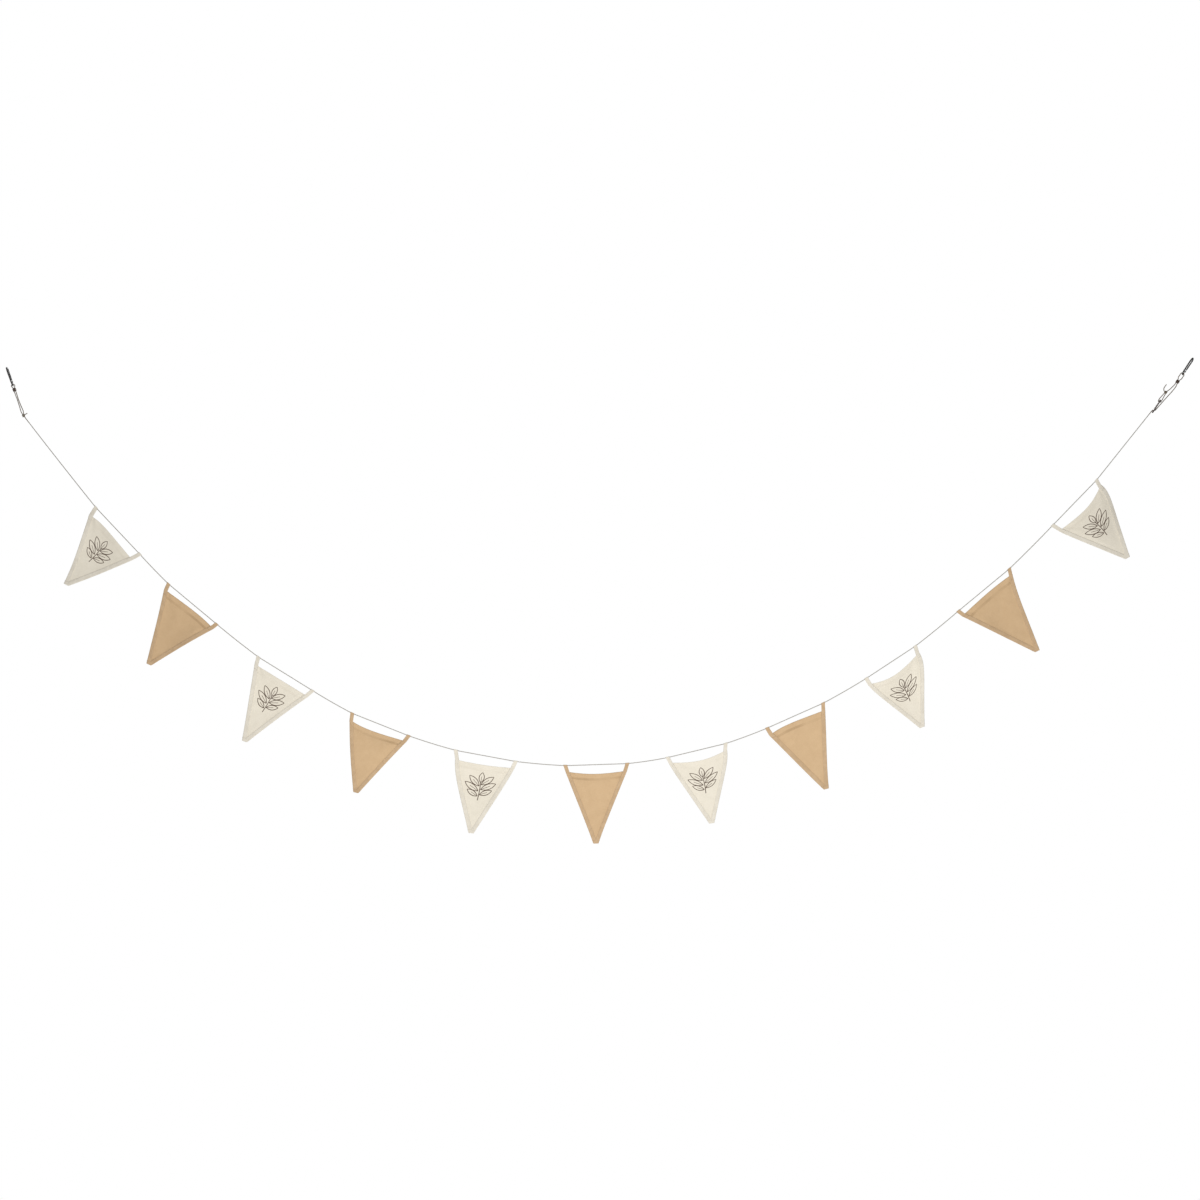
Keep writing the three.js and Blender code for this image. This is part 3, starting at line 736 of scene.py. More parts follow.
# %% The runs of tape
TAPE_THICK = 0.0006
TAPE_HALF = 0.00125
TAPE_ROOM = 0.0013
TAPE_TAPER = 0.12
FOLD_DEGREES = (30, 60, 90, 120, 150)
SECTION_STEPS = 6
SIDE_SLANT = 23
SIDE_ROWS = 60
SIDE_WAVE_HIGH, SIDE_WAVES = 0.00025, 14
LAP, LAP_FROM, LAP_TO = 0.0003, 0.82, 0.92
TIP_LIFT = 0.0006
TIP_SQUEEZE = 0.8
TIP_ROWS = 8


def folded_section():
    """Points (in from the fold, height off the cloth) round the folded tape."""
    reach = TAPE_WIDTH
    flat_part = [
        (reach * (1 - i / SECTION_STEPS) + TAPE_HALF * (i / SECTION_STEPS), TAPE_HALF)
        for i in range(SECTION_STEPS + 1)
    ]
    turn = [
        (TAPE_HALF - TAPE_HALF * math.sin(a), TAPE_HALF * math.cos(a))
        for a in (math.radians(d) for d in FOLD_DEGREES)
    ]
    front = [(s, h * (1 - TAPE_TAPER * (s / reach))) for s, h in flat_part]
    back = [(s, -h) for s, h in reversed(front)]
    return front + turn + back


SECTION = folded_section()


def tape_run(name, stations, place):
    """A run of folded tape: place(in from the fold, height, station) is a point."""
    ends = [0.0]
    for before, after in zip(stations, stations[1:]):
        gap = place(0, 0, after) - place(0, 0, before)
        ends.append(ends[-1] + gap.length)

    def spread(column, row):
        inward, height = SECTION[column]
        return place(inward, height, stations[row])

    def flat(column, row):
        inward, height = SECTION[column]
        return (inward if height >= 0 else -inward, ends[row])

    return warped_grid(name, len(SECTION) - 1, len(stations) - 1, spread, flat)


def side_run(pennant, number, side):
    """The tape down one long side; the right one lies over the left one at the tip."""
    lap = LAP if side > 0 else 0.0

    def place(inward, height, v):
        level = inward / math.cos(math.radians(SIDE_SLANT))
        share = (level - TAPE_ROOM) / pennant.width_at(min(v, 1.0))
        wave = noise.noise(Vector((v * SIDE_WAVES, side * 3.0, number))) * SIDE_WAVE_HIGH
        lift = height + math.copysign(lap * smoothstep(LAP_FROM, LAP_TO, v), height)
        return pennant.at(share if side < 0 else 1 - share, v, lift + wave)

    stations = [i / SIDE_ROWS for i in range(SIDE_ROWS + 1)]
    return tape_run(f"run_{number}_{side}", stations, place)


def tip_run(pennant, number):
    """The tape round the blunt tip, over both side runs."""
    def place(inward, height, u):
        lift = height + math.copysign(TIP_LIFT, height)
        return pennant.at(u, 1 - (inward * TIP_SQUEEZE - TAPE_ROOM) / CLOTH_TALL, lift)

    edge = TAPE_ROOM / TIP_WIDE
    stations = [-edge + (1 + 2 * edge) * i / TIP_ROWS for i in range(TIP_ROWS + 1)]
    return tape_run(f"tip_{number}", stations, place)


print("points round the folded tape:", len(SECTION))

# %% [markdown]
# ## The loops
# Above each corner the tape goes on as a flat strap: up the front, over the cord,
# down the back and under its own end, where it is sewn. So the loop is a long
# narrow grid whose path is a smooth line through a few places: two on the back of the
# corner, the half circle over the cord, and two on the front.

# %% Loops over the cord
LOOP_RADIUS = 2.6 * MM
LOOP_THICK = 0.0009
LOOP_SEWN = 0.055
LOOP_SAG = 0.0002
LOOP_COLUMNS = 8
LOOP_STEPS = 5
LOOP_TURN_STEPS = 6
LOOP_ROW = 0.0016


def smooth_path(points, steps):
    """A smooth line through points, with steps short stretches between each two."""
    fine = []
    for i in range(len(points) - 1):
        a, b = points[i], points[i + 1]
        before = points[i - 1] if i > 0 else a * 2 - b
        after = points[i + 2] if i + 2 < len(points) else b * 2 - a
        for k in range(steps):
            t = k / steps
            fine.append(
                0.5 * (
                    2 * a + (b - before) * t
                    + (2 * before - 5 * a + 4 * b - after) * t * t
                    + (3 * a - before - 3 * b + after) * t * t * t
                )
            )
    fine.append(points[-1])
    return fine


def make_loop(pennant, number, side):
    """The strap over the cord at one corner."""
    hang = pennant.left if side < 0 else pennant.right
    cord_way = pennant.cord_at[side]
    over = Vector((-cord_way.z, 0, cord_way.x))
    centre = hang - over * LOOP_SAG
    height = TAPE_HALF + LOOP_THICK * 0.75

    def edges(face, v):
        shares = (-TAPE_ROOM / pennant.width_at(v), (TAPE_WIDTH - TAPE_ROOM) / pennant.width_at(v))
        ends = [pennant.at(s if side < 0 else 1 - s, v, face * height) for s in shares]
        return ends if side < 0 else ends[::-1]

    stations = [edges(-1, LOOP_SEWN), edges(-1, 0.0)]
    for i in range(LOOP_TURN_STEPS + 1):
        angle = math.pi * i / LOOP_TURN_STEPS
        way = AWAY * math.cos(angle) + over * math.sin(angle)
        middle = centre + way * LOOP_RADIUS
        stations.append([middle - cord_way * TAPE_WIDTH / 2, middle + cord_way * TAPE_WIDTH / 2])
    stations += [edges(1, 0.0), edges(1, LOOP_SEWN)]
    near = smooth_path([s[0] for s in stations], LOOP_STEPS)
    far = smooth_path([s[1] for s in stations], LOOP_STEPS)

    def spread(column, row):
        return near[row].lerp(far[row], column / LOOP_COLUMNS)

    def flat(column, row):
        share = column / LOOP_COLUMNS
        inward = share if side < 0 else 1 - share
        return (inward * TAPE_WIDTH, row * LOOP_ROW)

    loop = warped_grid(f"loop_{number}_{side}", LOOP_COLUMNS, len(near) - 1, spread, flat)
    thicken(loop, LOOP_THICK)
    return loop


print("a loop's inside:", round(2 * LOOP_RADIUS * 1000, 1), "mm across")


def joined(name, pieces):
    """One mesh object out of several."""
    bm = bmesh.new()
    for piece in pieces:
        bm.from_mesh(piece.data)
        bpy.data.objects.remove(piece)
    return finished(name, bm)


def make_binding(pennant, number):
    """All the tape of one pennant."""
    runs = [side_run(pennant, number, -1), side_run(pennant, number, 1), tip_run(pennant, number)]
    for run in runs:
        thicken(run, TAPE_THICK)
    loops = [make_loop(pennant, number, side) for side in (-1, 1)]
    return joined(f"pennant_{number:02d}_binding", runs + loops)


for number, pennant in enumerate(pennants, start=1):
    cloth = make_panel(pennant, number)
    binding = make_binding(pennant, number)
    kind = pennant.row["cloth"]
    cloth.data.materials.append(cream_cotton if kind == "cream" else tan_cotton)
    binding.data.materials.append(cream_tape if kind == "cream" else tan_tape)
    for piece, node, slot in ((cloth, "panel", kind), (binding, "tape", f"{kind}_tape")):
        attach(piece, "string")
        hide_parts(f"pennant_{number:02d}_{node}")
print("pennants hung:", len(pennants))

# %% [markdown]
# ## Cord
# The cord is three strands twisted together. Seen close, its outline is a row of small
# bumps that wind round it. So its section is a circle with three lobes, and each ring of
# the tube is turned a little further than the last one. Fibres are too fine to model,
# and go into the bump. The grooves between strands are painted darker, as painted shade,
# and the cotton is darker and browner near its start and past a given length.

# %% The cord finish
CORD_RADIUS = 1.5 * MM
CORD_SIDES = 12
CORD_LAY = 0.011
STRANDS = 3
RING_STEP = 0.0014
GROOVE = 0.16
LOBE_TOP = 1.06
FIBRE_STRETCH = (60, 400, 1)
DARK_START = (0.004, 0.03)  # metres along the cord
DARK_BLEND = 0.03
ALL_DARK = -0.1  # a length before the cord's start, so all of it is darker
# Each pair is a colour and a darker one. The darker one is painted shade in the grooves between
# strands, mixed with darker fibres.
PALE_CORD = (tint(192, 188, 180), tint(150, 145, 136))
# The second pair is a darker, browner cord, used near the ends.
DARK_CORD = (tint(126, 111, 90), tint(94, 81, 64))


def cord_finish(name, pale_for):
    """Twisted cotton with painted shade in its grooves and fine fibres; darker and browner near
    its start and past that length.
    """
    finish = Finish(name, roughness=0.9, sheen=0.15)
    strand_relief_and_shade = abs((finish.across * (STRANDS * math.pi)).sin())
    drawn = finish.uv.out("ShaderNodeMapping", i0=finish.uv, Scale=FIBRE_STRETCH)
    fibre = finish.grain(1.0, detail=3.0, where=drawn)
    # Painted shade: the grooves between strands are coloured darker.
    depth = strand_relief_and_shade.ramp(0.0, 0.5) * 0.7 + fibre * 0.3
    pale_tone, dark_tone = (depth.mix_colour(shade, colour) for colour, shade in (PALE_CORD, DARK_CORD))
    # Near its start and past the given length the cord is darker and browner.
    at_start = finish.along.ramp(*DARK_START, 1.0, 0.0)
    dark_share = finish.along.ramp(pale_for - DARK_BLEND, pale_for).most(at_start)
    finish.set("Base Color", dark_share.mix_colour(pale_tone, dark_tone))
    finish.bump(strand_relief_and_shade * 0.5 + fibre, 0.5, 0.3 * MM)
    return finish.material


print("the cord's lay:", round(CORD_LAY * 1000), "mm a turn")

# %% The cord as a tube of lobed rings
LAST_STEP_LEAST = 0.3
NEARLY_ALONG = 0.9


def arc_points(centre, a, b, radius, start, end, steps):
    """Points on an arc in the plane of a and b."""
    turns = (math.radians(start + (end - start) * i / steps) for i in range(steps + 1))
    return [centre + a * (radius * math.cos(t)) + b * (radius * math.sin(t)) for t in turns]


def even_steps(points, step):
    """Places at even steps along a line of points."""
    places = [points[0]]
    left_over = 0.0
    for a, b in zip(points, points[1:]):
        length = (b - a).length
        at = step - left_over
        while at < length:
            places.append(a.lerp(b, at / length))
            at += step
        left_over = length - (at - step)
    if (places[-1] - points[-1]).length < step * LAST_STEP_LEAST:
        places[-1] = points[-1]
    else:
        places.append(points[-1])
    return places


def frames_along(points):
    """For each point, two directions square to the line that never twist about it."""
    ways = [(b - a).normalized() for a, b in zip(points, points[1:])]
    ways.append(ways[-1])
    side = ways[0].orthogonal().normalized()
    if abs(ways[0].y) < NEARLY_ALONG:
        side = (AWAY - ways[0] * AWAY.dot(ways[0])).normalized()
    frames = []
    for i, way in enumerate(ways):
        mean = (way + ways[max(i - 1, 0)]).normalized()
        side = (side - mean * side.dot(mean)).normalized()
        frames.append((side, mean.cross(side)))
    return frames


def twisted_tube(name, rings, radius=CORD_RADIUS):
    """A twisted cord through evenly spaced ring centres, closed at both ends."""
    frames = frames_along(rings)

    def spread(column, row):
        angle = 2 * math.pi * column / CORD_SIDES
        wound = angle + 2 * math.pi * row * RING_STEP / CORD_LAY
        lobe = radius * (LOBE_TOP - GROOVE * (0.5 - 0.5 * math.cos(STRANDS * angle)))
        first, second = frames[row]
        return rings[row] + first * (lobe * math.cos(wound)) + second * (lobe * math.sin(wound))

    def flat(column, row):
        return (column / CORD_SIDES, row * RING_STEP)

    tube = warped_grid(name, CORD_SIDES, len(rings) - 1, spread, flat, closed=True)
    close_ends(tube)
    return tube


def close_ends(piece):
    """Fills the open rings at a tube's ends."""
    bm = bmesh.new()
    bm.from_mesh(piece.data)
    open_edges = [edge for edge in bm.edges if edge.is_boundary]
    bmesh.ops.holes_fill(bm, edges=open_edges, sides=0)
    bm.to_mesh(piece.data)
    bm.free()
    face_outwards(piece)


def face_outwards(piece):
    """Turns every face of a closed piece to look outwards."""
    bm = bmesh.new()
    bm.from_mesh(piece.data)
    bmesh.ops.recalc_face_normals(bm, faces=bm.faces)
    bm.to_mesh(piece.data)
    bm.free()


print("rings for a metre of cord:", round(1 / RING_STEP))

# %% [markdown]
# ## The cord's way
# From the left knot the cord runs through all the loops to the slider. There it
# goes through the low hole, up to the right hook, round the hook's foot and back down to
# the right knot. It is one cord, so it is one tube, and the list below follows it from
# end to end. A second, short one makes the eye on the left hook.

# %% The places at both ends
HOOK_FOOT = 59 * MM
HOOK_BAR = 2.4 * MM
EYE_RADIUS = 6 * MM
LEG_APART = 2.6 * MM
COLLAR_LENGTH = 11.5 * MM
LEFT_COLLAR_AT = 73.5 * MM
RIGHT_HANG = in_string(3911.7, 31)
RIGHT_AXIS = Vector((-0.555, 0, -0.832)).normalized()
RIGHT_COLLAR_AT = 88.5 * MM
SLIDER_FOOT = in_string(3779, -145)
SLIDER_UP = Vector((0.54, 0, 0.842)).normalized()
SLIDER_OUT = AWAY.cross(SLIDER_UP).normalized()
SLIDER_LENGTH = 50 * MM
LOW_HOLE = 9 * MM
TOP_HOLE = 42 * MM
TURN_RADIUS = 4.3 * MM
TIE_RADIUS = 4.7 * MM
RIGHT_KNOT = in_string(3823.5, -78)
RIGHT_LEG_UP = [(3801, -123.5), (3812, -111), (3830, -91), (3848, -71), (3857.5, -58.5)]
RIGHT_LEG_DOWN = [(3852.4, -53.4), (3839, -66.4)]
RIGHT_TAIL = [(3818, -73), (3817.5, -65), (3821, -58.5), (3826, -52)]
LEFT_LEG_UP = [(157.6, 2.4), (148, 4), (132, 2.8), (108, 1.8)]
LEFT_LEG_DOWN = [(108, -1.8), (132, -2.6), (148, -3.4), (157.6, -2)]
LEFT_TAIL = [(162, 7), (161, 14)]
EYE_SNUG = 0.4 * MM
COLLAR_GAP = 0.2 * MM
BEND_STEPS, OVER_STEPS = 6, 24


def by_hook(hang, axis, down, aside):
    """A place down a hook's axis and to its side, in the string's plane."""
    return hang + axis * down + axis.cross(AWAY).normalized() * aside


def by_slider(up, out):
    return SLIDER_FOOT + SLIDER_UP * up + SLIDER_OUT * out


def eye_points(hang, axis, collar_at):
    """The cord's eye over the foot of a hook, from one side of the collar to the other."""
    aside = axis.cross(AWAY).normalized()
    turn = math.acos((EYE_RADIUS + LEG_APART) / (2 * EYE_RADIUS))
    degrees = math.degrees(turn)
    top = HOOK_FOOT - HOOK_BAR - CORD_RADIUS + EYE_RADIUS - EYE_SNUG
    foot = collar_at - COLLAR_LENGTH / 2 - COLLAR_GAP
    low = foot - 2 * EYE_RADIUS * math.sin(turn)

    def leg(side):
        outer = by_hook(hang, axis, foot, side * (LEG_APART + EYE_RADIUS))
        inner = by_hook(hang, axis, low, 0)
        turns = (
            (outer, -90 * side, -(90 + degrees) * side),
            (inner, (90 - degrees) * side, 90 * side),
        )
        way = [by_hook(hang, axis, collar_at + COLLAR_LENGTH / 2 + MM, side * LEG_APART)]
        for centre, start, end in turns:
            way += arc_points(centre, axis, aside, EYE_RADIUS, start, end, BEND_STEPS)[:-1]
        return way

    middle = by_hook(hang, axis, top, 0)
    over = arc_points(middle, axis, aside, EYE_RADIUS, 90, 270, OVER_STEPS)
    return leg(1) + over + leg(-1)[::-1]


print("slider's foot", [round(c, 3) for c in SLIDER_FOOT])

# %% The long cord
GAP_SAG = 1.6 * MM
GAP_STEPS = 8
HOLE_STEPS = 10
LEG_STEPS = 6


def sagging(start, end):
    """Points on the shallow curve of a gap between two pennants, deepest midway."""
    shares = [i / GAP_STEPS for i in range(1, GAP_STEPS + 1)]
    return [start.lerp(end, t) - UP * (4 * GAP_SAG * t * (1 - t)) for t in shares]


first_gap = slope(PENNANTS[0]["gap_slope"])
long_way = [left_knot_place + first_gap * KNOT_ROOM]
for pennant in pennants:
    long_way += sagging(long_way[-1], pennant.left) + [pennant.right]
turn_in = by_slider(LOW_HOLE - TURN_RADIUS, 0)
turn_out = by_slider(LOW_HOLE + TURN_RADIUS, 0)
to_knot = (in_string(*RIGHT_LEG_DOWN[-1]) - RIGHT_KNOT).normalized()
through_slider = (
    arc_points(turn_in, SLIDER_UP, SLIDER_OUT, TURN_RADIUS, -90, 0, HOLE_STEPS)
    + arc_points(turn_out, SLIDER_UP, SLIDER_OUT, TURN_RADIUS, 180, 90, HOLE_STEPS)[1:]
)
leg_places = [through_slider[-1]] + [in_string(*p) for p in RIGHT_LEG_UP]
up_leg = smooth_path(leg_places, LEG_STEPS)[1:]
down_leg = [in_string(*p) for p in RIGHT_LEG_DOWN] + [RIGHT_KNOT + to_knot * KNOT_ROOM]
right_eye = eye_points(RIGHT_HANG, RIGHT_AXIS, RIGHT_COLLAR_AT)
cord_way = long_way + through_slider + up_leg + right_eye + down_leg


def way_length(points):
    return sum((b - a).length for a, b in zip(points, points[1:]))


def softened(points, reach):
    """Rounds the small bends of a line that is already in even steps."""
    smooth = list(points)
    for i in range(reach, len(points) - reach):
        window = points[i - reach:i + reach + 1]
        smooth[i] = sum(window, Vector()) / len(window)
    return smooth


cord_line = softened(even_steps(cord_way, RING_STEP), 1)
long_cord = twisted_tube("long_cord", cord_line)
to_slider = way_length(long_way + through_slider[:1])
long_cord.data.materials.append(cord_finish("long_cord_cotton", to_slider))
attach(long_cord, "string")
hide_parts("cord")
print("long cord", round(way_length(cord_line), 3), "m")


# %% The short cord
def by_left_hook(places):
    """Places down the left hook's axis and to its side, from millimetres."""
    return [by_hook(LEFT_HANG, LEFT_AXIS, down * MM, aside * MM) for down, aside in places]


left_way = (
    smooth_path(by_left_hook(LEFT_LEG_UP), LEG_STEPS)
    + eye_points(LEFT_HANG, LEFT_AXIS, LEFT_COLLAR_AT)
    + smooth_path(by_left_hook(LEFT_LEG_DOWN), LEG_STEPS)
)
eye_line = softened(even_steps(left_way, RING_STEP), 1)
eye_cord = twisted_tube("eye_cord", eye_line)
dark_cotton = cord_finish("dark_cotton", ALL_DARK)
eye_cord.data.materials.append(dark_cotton)
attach(eye_cord, "string")
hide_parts("cord_eye")
print("eye cord", round(way_length(eye_line), 3), "m")

# %% [markdown]
# ## Knots
# Both knots are a few turns of the cord pulled tight about itself, with a tail left
# over. The turns are one helix. The tail, the tie to the slider and the ends of
# the long strands are short tubes that start inside it, all of the same twisted cord.

# %% The knots
KNOT_RADIUS = 3.7 * MM
KNOT_TURNS = 3.7
KNOT_PITCH = 2.6 * MM
KNOT_TILT = 0.9 * MM
KNOT_WAIST, KNOT_SWELL = 0.55, 0.45
KNOT_POINTS = 90
TAIL_STEPS = 8
TIE_STEPS = 16
TIE_LIFT = 4 * MM


def knot_turns(centre, axis):
    """Tight turns of cord about an axis."""
    side = axis.cross(AWAY).normalized()
    points = []
    for i in range(KNOT_POINTS):
        share = i / (KNOT_POINTS - 1)
        angle = 2 * math.pi * KNOT_TURNS * share
        rise = (share - 0.5) * KNOT_TURNS * KNOT_PITCH
        full = math.sin(math.pi * share) ** 0.5
        swell = KNOT_RADIUS * (KNOT_WAIST + KNOT_SWELL * full)
        tilt = KNOT_TILT * math.sin(angle * 0.5)
        points.append(
            centre + axis * (rise + tilt)
            + side * (swell * math.cos(angle)) + AWAY * (swell * math.sin(angle))
        )
    return points


tie_turn = by_slider(TOP_HOLE + TIE_RADIUS - 0.5 * MM, 0)
tie_way = (
    [RIGHT_KNOT - SLIDER_OUT * 1.5 * MM, by_slider(SLIDER_LENGTH + TIE_LIFT, -TIE_RADIUS)]
    + arc_points(tie_turn, SLIDER_UP, SLIDER_OUT, TIE_RADIUS, -90, -270, TIE_STEPS)
    + [by_slider(SLIDER_LENGTH + TIE_LIFT, TIE_RADIUS), RIGHT_KNOT + SLIDER_OUT * 1.5 * MM]
)
right_tail = smooth_path([RIGHT_KNOT] + [in_string(*p) for p in RIGHT_TAIL], TAIL_STEPS)
left_tail = smooth_path([left_knot_place] + by_left_hook(LEFT_TAIL), TAIL_STEPS)
left_ends = [[left_knot_place, end] for end in (cord_line[0], eye_line[0], eye_line[-1])]
knots = {
    "left": (left_knot_place, LEFT_AXIS, [left_tail, *left_ends]),
    "right": (RIGHT_KNOT, SLIDER_UP, [right_tail, tie_way, [RIGHT_KNOT, cord_line[-1]]]),
}
for end, (centre, axis, strands) in knots.items():
    ways = [knot_turns(centre, axis), *strands]
    tubes = [
        twisted_tube(f"strand_{end}_{i}", even_steps(way, RING_STEP)) for i, way in enumerate(ways)
    ]
    knot = joined(f"{end}_knot", tubes)
    knot.data.materials.append(dark_cotton)
    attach(knot, "string")
    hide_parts(f"knot_{end}")

tuple(cord_line[0])
way_length(cord_line)
[tuple(p) for p in cord_line]
tuple(eye_line[0])
way_length(eye_line)
[tuple(p) for p in eye_line]

# %% [markdown]
# ## Snap hooks
# A snap hook is one bar bent into a long loop that stays open on one side, and a
# straight gate that closes the gap. The bar is the same warped grid as the cord, only
# its section changes on the way: it is flattened to a tang where the gate is pinned,
# full and round over the bends, and rounded off at the nose.

# %% Painted metal
PEEL, RUBS, CLOUDS = 2600, 420, 260  # features a metre


def metal_finish(name, colour, worn):
    """Dark satin paint over metal, rubbed through in small places, with a fine orange peel."""
    finish = Finish(name, roughness=0.4)
    peel = finish.grain(PEEL, detail=2.0)
    cloud = finish.grain(CLOUDS, detail=4.0)
    rubbed = finish.grain(RUBS, detail=5.0, rough=0.6).ramp(0.66, 0.74)
    finish.set("Base Color", rubbed.mix_colour(colour, worn))
    finish.set("Metallic", rubbed * 0.9)
    finish.set("Roughness", cloud.ramp(0.3, 0.7, 0.34, 0.5))
    finish.bump(peel * 0.4 - rubbed * 0.6, 0.25, 0.2 * MM)
    return finish.material


hook_metal = metal_finish("hook_metal", tint(54, 53, 52), tint(124, 120, 114))
print("the hooks' finish:", hook_metal.name)

# %% Bars with a changing section
BAR_SIDES = 24
BAR_ROUND = 0.015
HINGE = (46.0, 13.6)
GATE_TIP = (7.5, 15.0)
GATE_PAST_PIN = 2.4
HOOK_BENDS = [
    (44, 13.6), (52, 12), (58, 7), (59, 0), (58, -7), (50, -11.5), (36, -13),
    (18, -14.5), (6, -13.5), (-1.5, -7.5), (-3, 1), (-0.5, 9), (3.5, 13.8), (6.9, 14.9),
]
HOOK_SWELL = 0.04
TANG_HALF = 0.8  # these are in millimetres, and each LEFT is a share of the full bar
TANG_LONG, TANG_FADES = 8.5, 2.5
TANG_BLUNT = 2.2
NOSE_BLUNT, NOSE_LEFT = 1.4, 0.75
GATE_BAR = 2.1
GATE_BLUNT, GATE_LEFT = 1.2, 0.7
END_LEFT = 0.04


class HookFrame:
    """Where one hook's own directions point: a down to its foot, b across it, c along its pin."""

    def __init__(self, hang, axis, turn):
        spin = Matrix.Rotation(math.radians(turn), 3, axis)
        self.hang = hang
        self.a = axis
        self.b = spin @ AWAY
        self.c = spin @ axis.cross(AWAY).normalized()

    def at(self, a, b, c=0.0):
        return self.hang + (self.a * a + self.b * b + self.c * c) * MM

    def matrix(self, a, b, c=0.0):
        """Turns a shape made on X, Y, Z to this hook's a, b, c, and puts it in place."""
        turned = Matrix((self.a, self.b, self.c)).transposed().to_4x4()
        return Matrix.Translation(self.at(a, b, c)) @ turned


def bar_tube(name, line, pin_way, section):
    """A bar along a flat line of points: section(distance, total) gives its two half sizes."""
    ways = [(b - a).normalized() for a, b in zip(line, line[1:])]
    ways.append(ways[-1])
    means = [(way + ways[max(i - 1, 0)]).normalized() for i, way in enumerate(ways)]
    distances = [0.0]
    for a, b in zip(line, line[1:]):
        distances.append(distances[-1] + (b - a).length)

    def spread(column, row):
        in_plane, through = section(distances[row], distances[-1])
        angle = 2 * math.pi * column / BAR_SIDES
        side = means[row].cross(pin_way) * (in_plane * math.cos(angle))
        return line[row] + side + pin_way * (through * math.sin(angle))

    def flat(column, row):
        return (BAR_ROUND * column / BAR_SIDES, distances[row])

    bar = warped_grid(name, BAR_SIDES, len(line) - 1, spread, flat, closed=True)
    close_ends(bar)
    return bar


def rounded_end(distance, reach):
    """How full a bar is at that distance from its rounded end."""
    share = min(1.0, max(0.0, distance / reach))
    return math.sqrt(max(0.0, 1 - (1 - share) ** 2)) * (1 - END_LEFT) + END_LEFT


def hook_section(distance, total):
    """Half the hook bar's size in its own plane and along the pin."""
    full = HOOK_BAR * (1 + HOOK_SWELL * math.sin(math.pi * distance / total))
    tang = 1 - smoothstep(TANG_LONG * MM, (TANG_LONG + TANG_FADES) * MM, distance)
    through = full * (1 - tang) + TANG_HALF * MM * tang
    blunt = rounded_end(distance, TANG_BLUNT * MM)
    nose = rounded_end(total - distance, NOSE_BLUNT * MM) * (1 - NOSE_LEFT) + NOSE_LEFT
    return full * blunt * nose, through * nose


def gate_section(distance, total):
    """The same for the gate, which is round all along."""
    hinge_end = rounded_end(distance, GATE_BAR * MM)
    nose_end = rounded_end(total - distance, GATE_BLUNT * MM) * (1 - GATE_LEFT) + GATE_LEFT
    half = GATE_BAR * MM * hinge_end * nose_end
    return half, half


print("hook bar:", round(2 * HOOK_BAR * 1000, 1), "mm, gate:", 2 * GATE_BAR, "mm")


# %% [markdown]
# ## Cutting and softening hard pieces
# The gate's fork, the slots in the collars and the holes in the slider are all cuts
# through a finished blank, as they are in the workshop. A Boolean makes the cut, and
# then the mesh is told which of its edges are sharp by their angle.

# %% Tools for hard pieces
CORNER_SEGMENTS = 8
ROD_SIDES = 32
TURN_STEPS = 40


def apply_cut(piece, cutter):
    """Takes the cutter's shape out of the piece, and removes the cutter."""
    cut = piece.modifiers.new("cut", "BOOLEAN")
    cut.operation = "DIFFERENCE"
    cut.solver = "EXACT"
    cut.object = cutter
    bpy.context.view_layer.update()
    apply_modifiers(piece)
    bpy.data.objects.remove(cutter)


def eased(piece, width, segments=2, angle=35):
    """Rounds the sharp edges of a piece, and marks what stays sharp."""
    soft = piece.modifiers.new("eased", "BEVEL")
    soft.width = width
    soft.segments = segments
    soft.limit_method = "ANGLE"
    soft.angle_limit = math.radians(angle)
    apply_modifiers(piece)
    piece.data.set_sharp_from_angle(angle=math.radians(angle))


def block(name, matrix, sizes, corner=0.0, along=2):
    """A box in millimetres, with its four edges along one axis rounded."""
    bm = bmesh.new()
    bmesh.ops.create_cube(bm, size=1)
    bmesh.ops.scale(bm, verts=bm.verts, vec=Vector(sizes) * MM)
    if corner:
        edges = [
            edge for edge in bm.edges
            if abs((edge.verts[0].co - edge.verts[1].co).normalized()[along]) > 0.9
        ]
        bmesh.ops.bevel(
            bm, geom=edges, offset=corner * MM, segments=CORNER_SEGMENTS, profile=0.5,
            affect="EDGES", material=-1,
        )
    bmesh.ops.transform(bm, verts=bm.verts, matrix=matrix)
    return finished(name, bm)


def rod(name, matrix, radius, length):
    """A round bar in millimetres, along the matrix's third direction."""
    bm = bmesh.new()
    bmesh.ops.create_cone(
        bm, cap_ends=True, segments=ROD_SIDES, radius1=radius * MM, radius2=radius * MM,
        depth=length * MM,
    )
    bmesh.ops.transform(bm, verts=bm.verts, matrix=matrix)
    return finished(name, bm)


def spun(name, profile, matrix, steps=TURN_STEPS, stretch=(1, 1, 1)):
    """A turned piece: a profile of (radius, rise) in millimetres, swept round the third axis."""
    shaped = matrix @ Matrix.Diagonal((*stretch, 1))

    def spread(column, row):
        radius, rise = profile[row]
        angle = 2 * math.pi * column / steps
        return shaped @ (Vector((radius * math.cos(angle), radius * math.sin(angle), rise)) * MM)

    def flat(column, row):
        return (column / steps, profile[row][1] * MM)

    piece = warped_grid(name, steps, len(profile) - 1, spread, flat, closed=True)
    face_outwards(piece)
    return piece


print("a rod has", ROD_SIDES, "sides, and a turned piece", TURN_STEPS)


# %% The hooks and their gates
RIGHT_HOOK_TURN = 17
HOOK_STEP, GATE_STEP = 0.0007, 0.0006
FORK_SLOT = (13, 10, 2.2)
FORK_BACK = 0.5
BEND_POINTS = 8
PIN_STEPS = 24
BODY_SHARP, GATE_SHARP = 50, 40
hook_frames = {
    "left": HookFrame(LEFT_HANG, LEFT_AXIS, 0),
    "right": HookFrame(RIGHT_HANG, RIGHT_AXIS, RIGHT_HOOK_TURN),
}
RIVET = [(0, -2.8), (1.0, -2.75), (1.55, -2.5), (1.7, -2.15), (0.9, -2.12),
         (0.9, 2.12), (1.7, 2.15), (1.55, 2.5), (1.0, 2.75), (0, 2.8)]


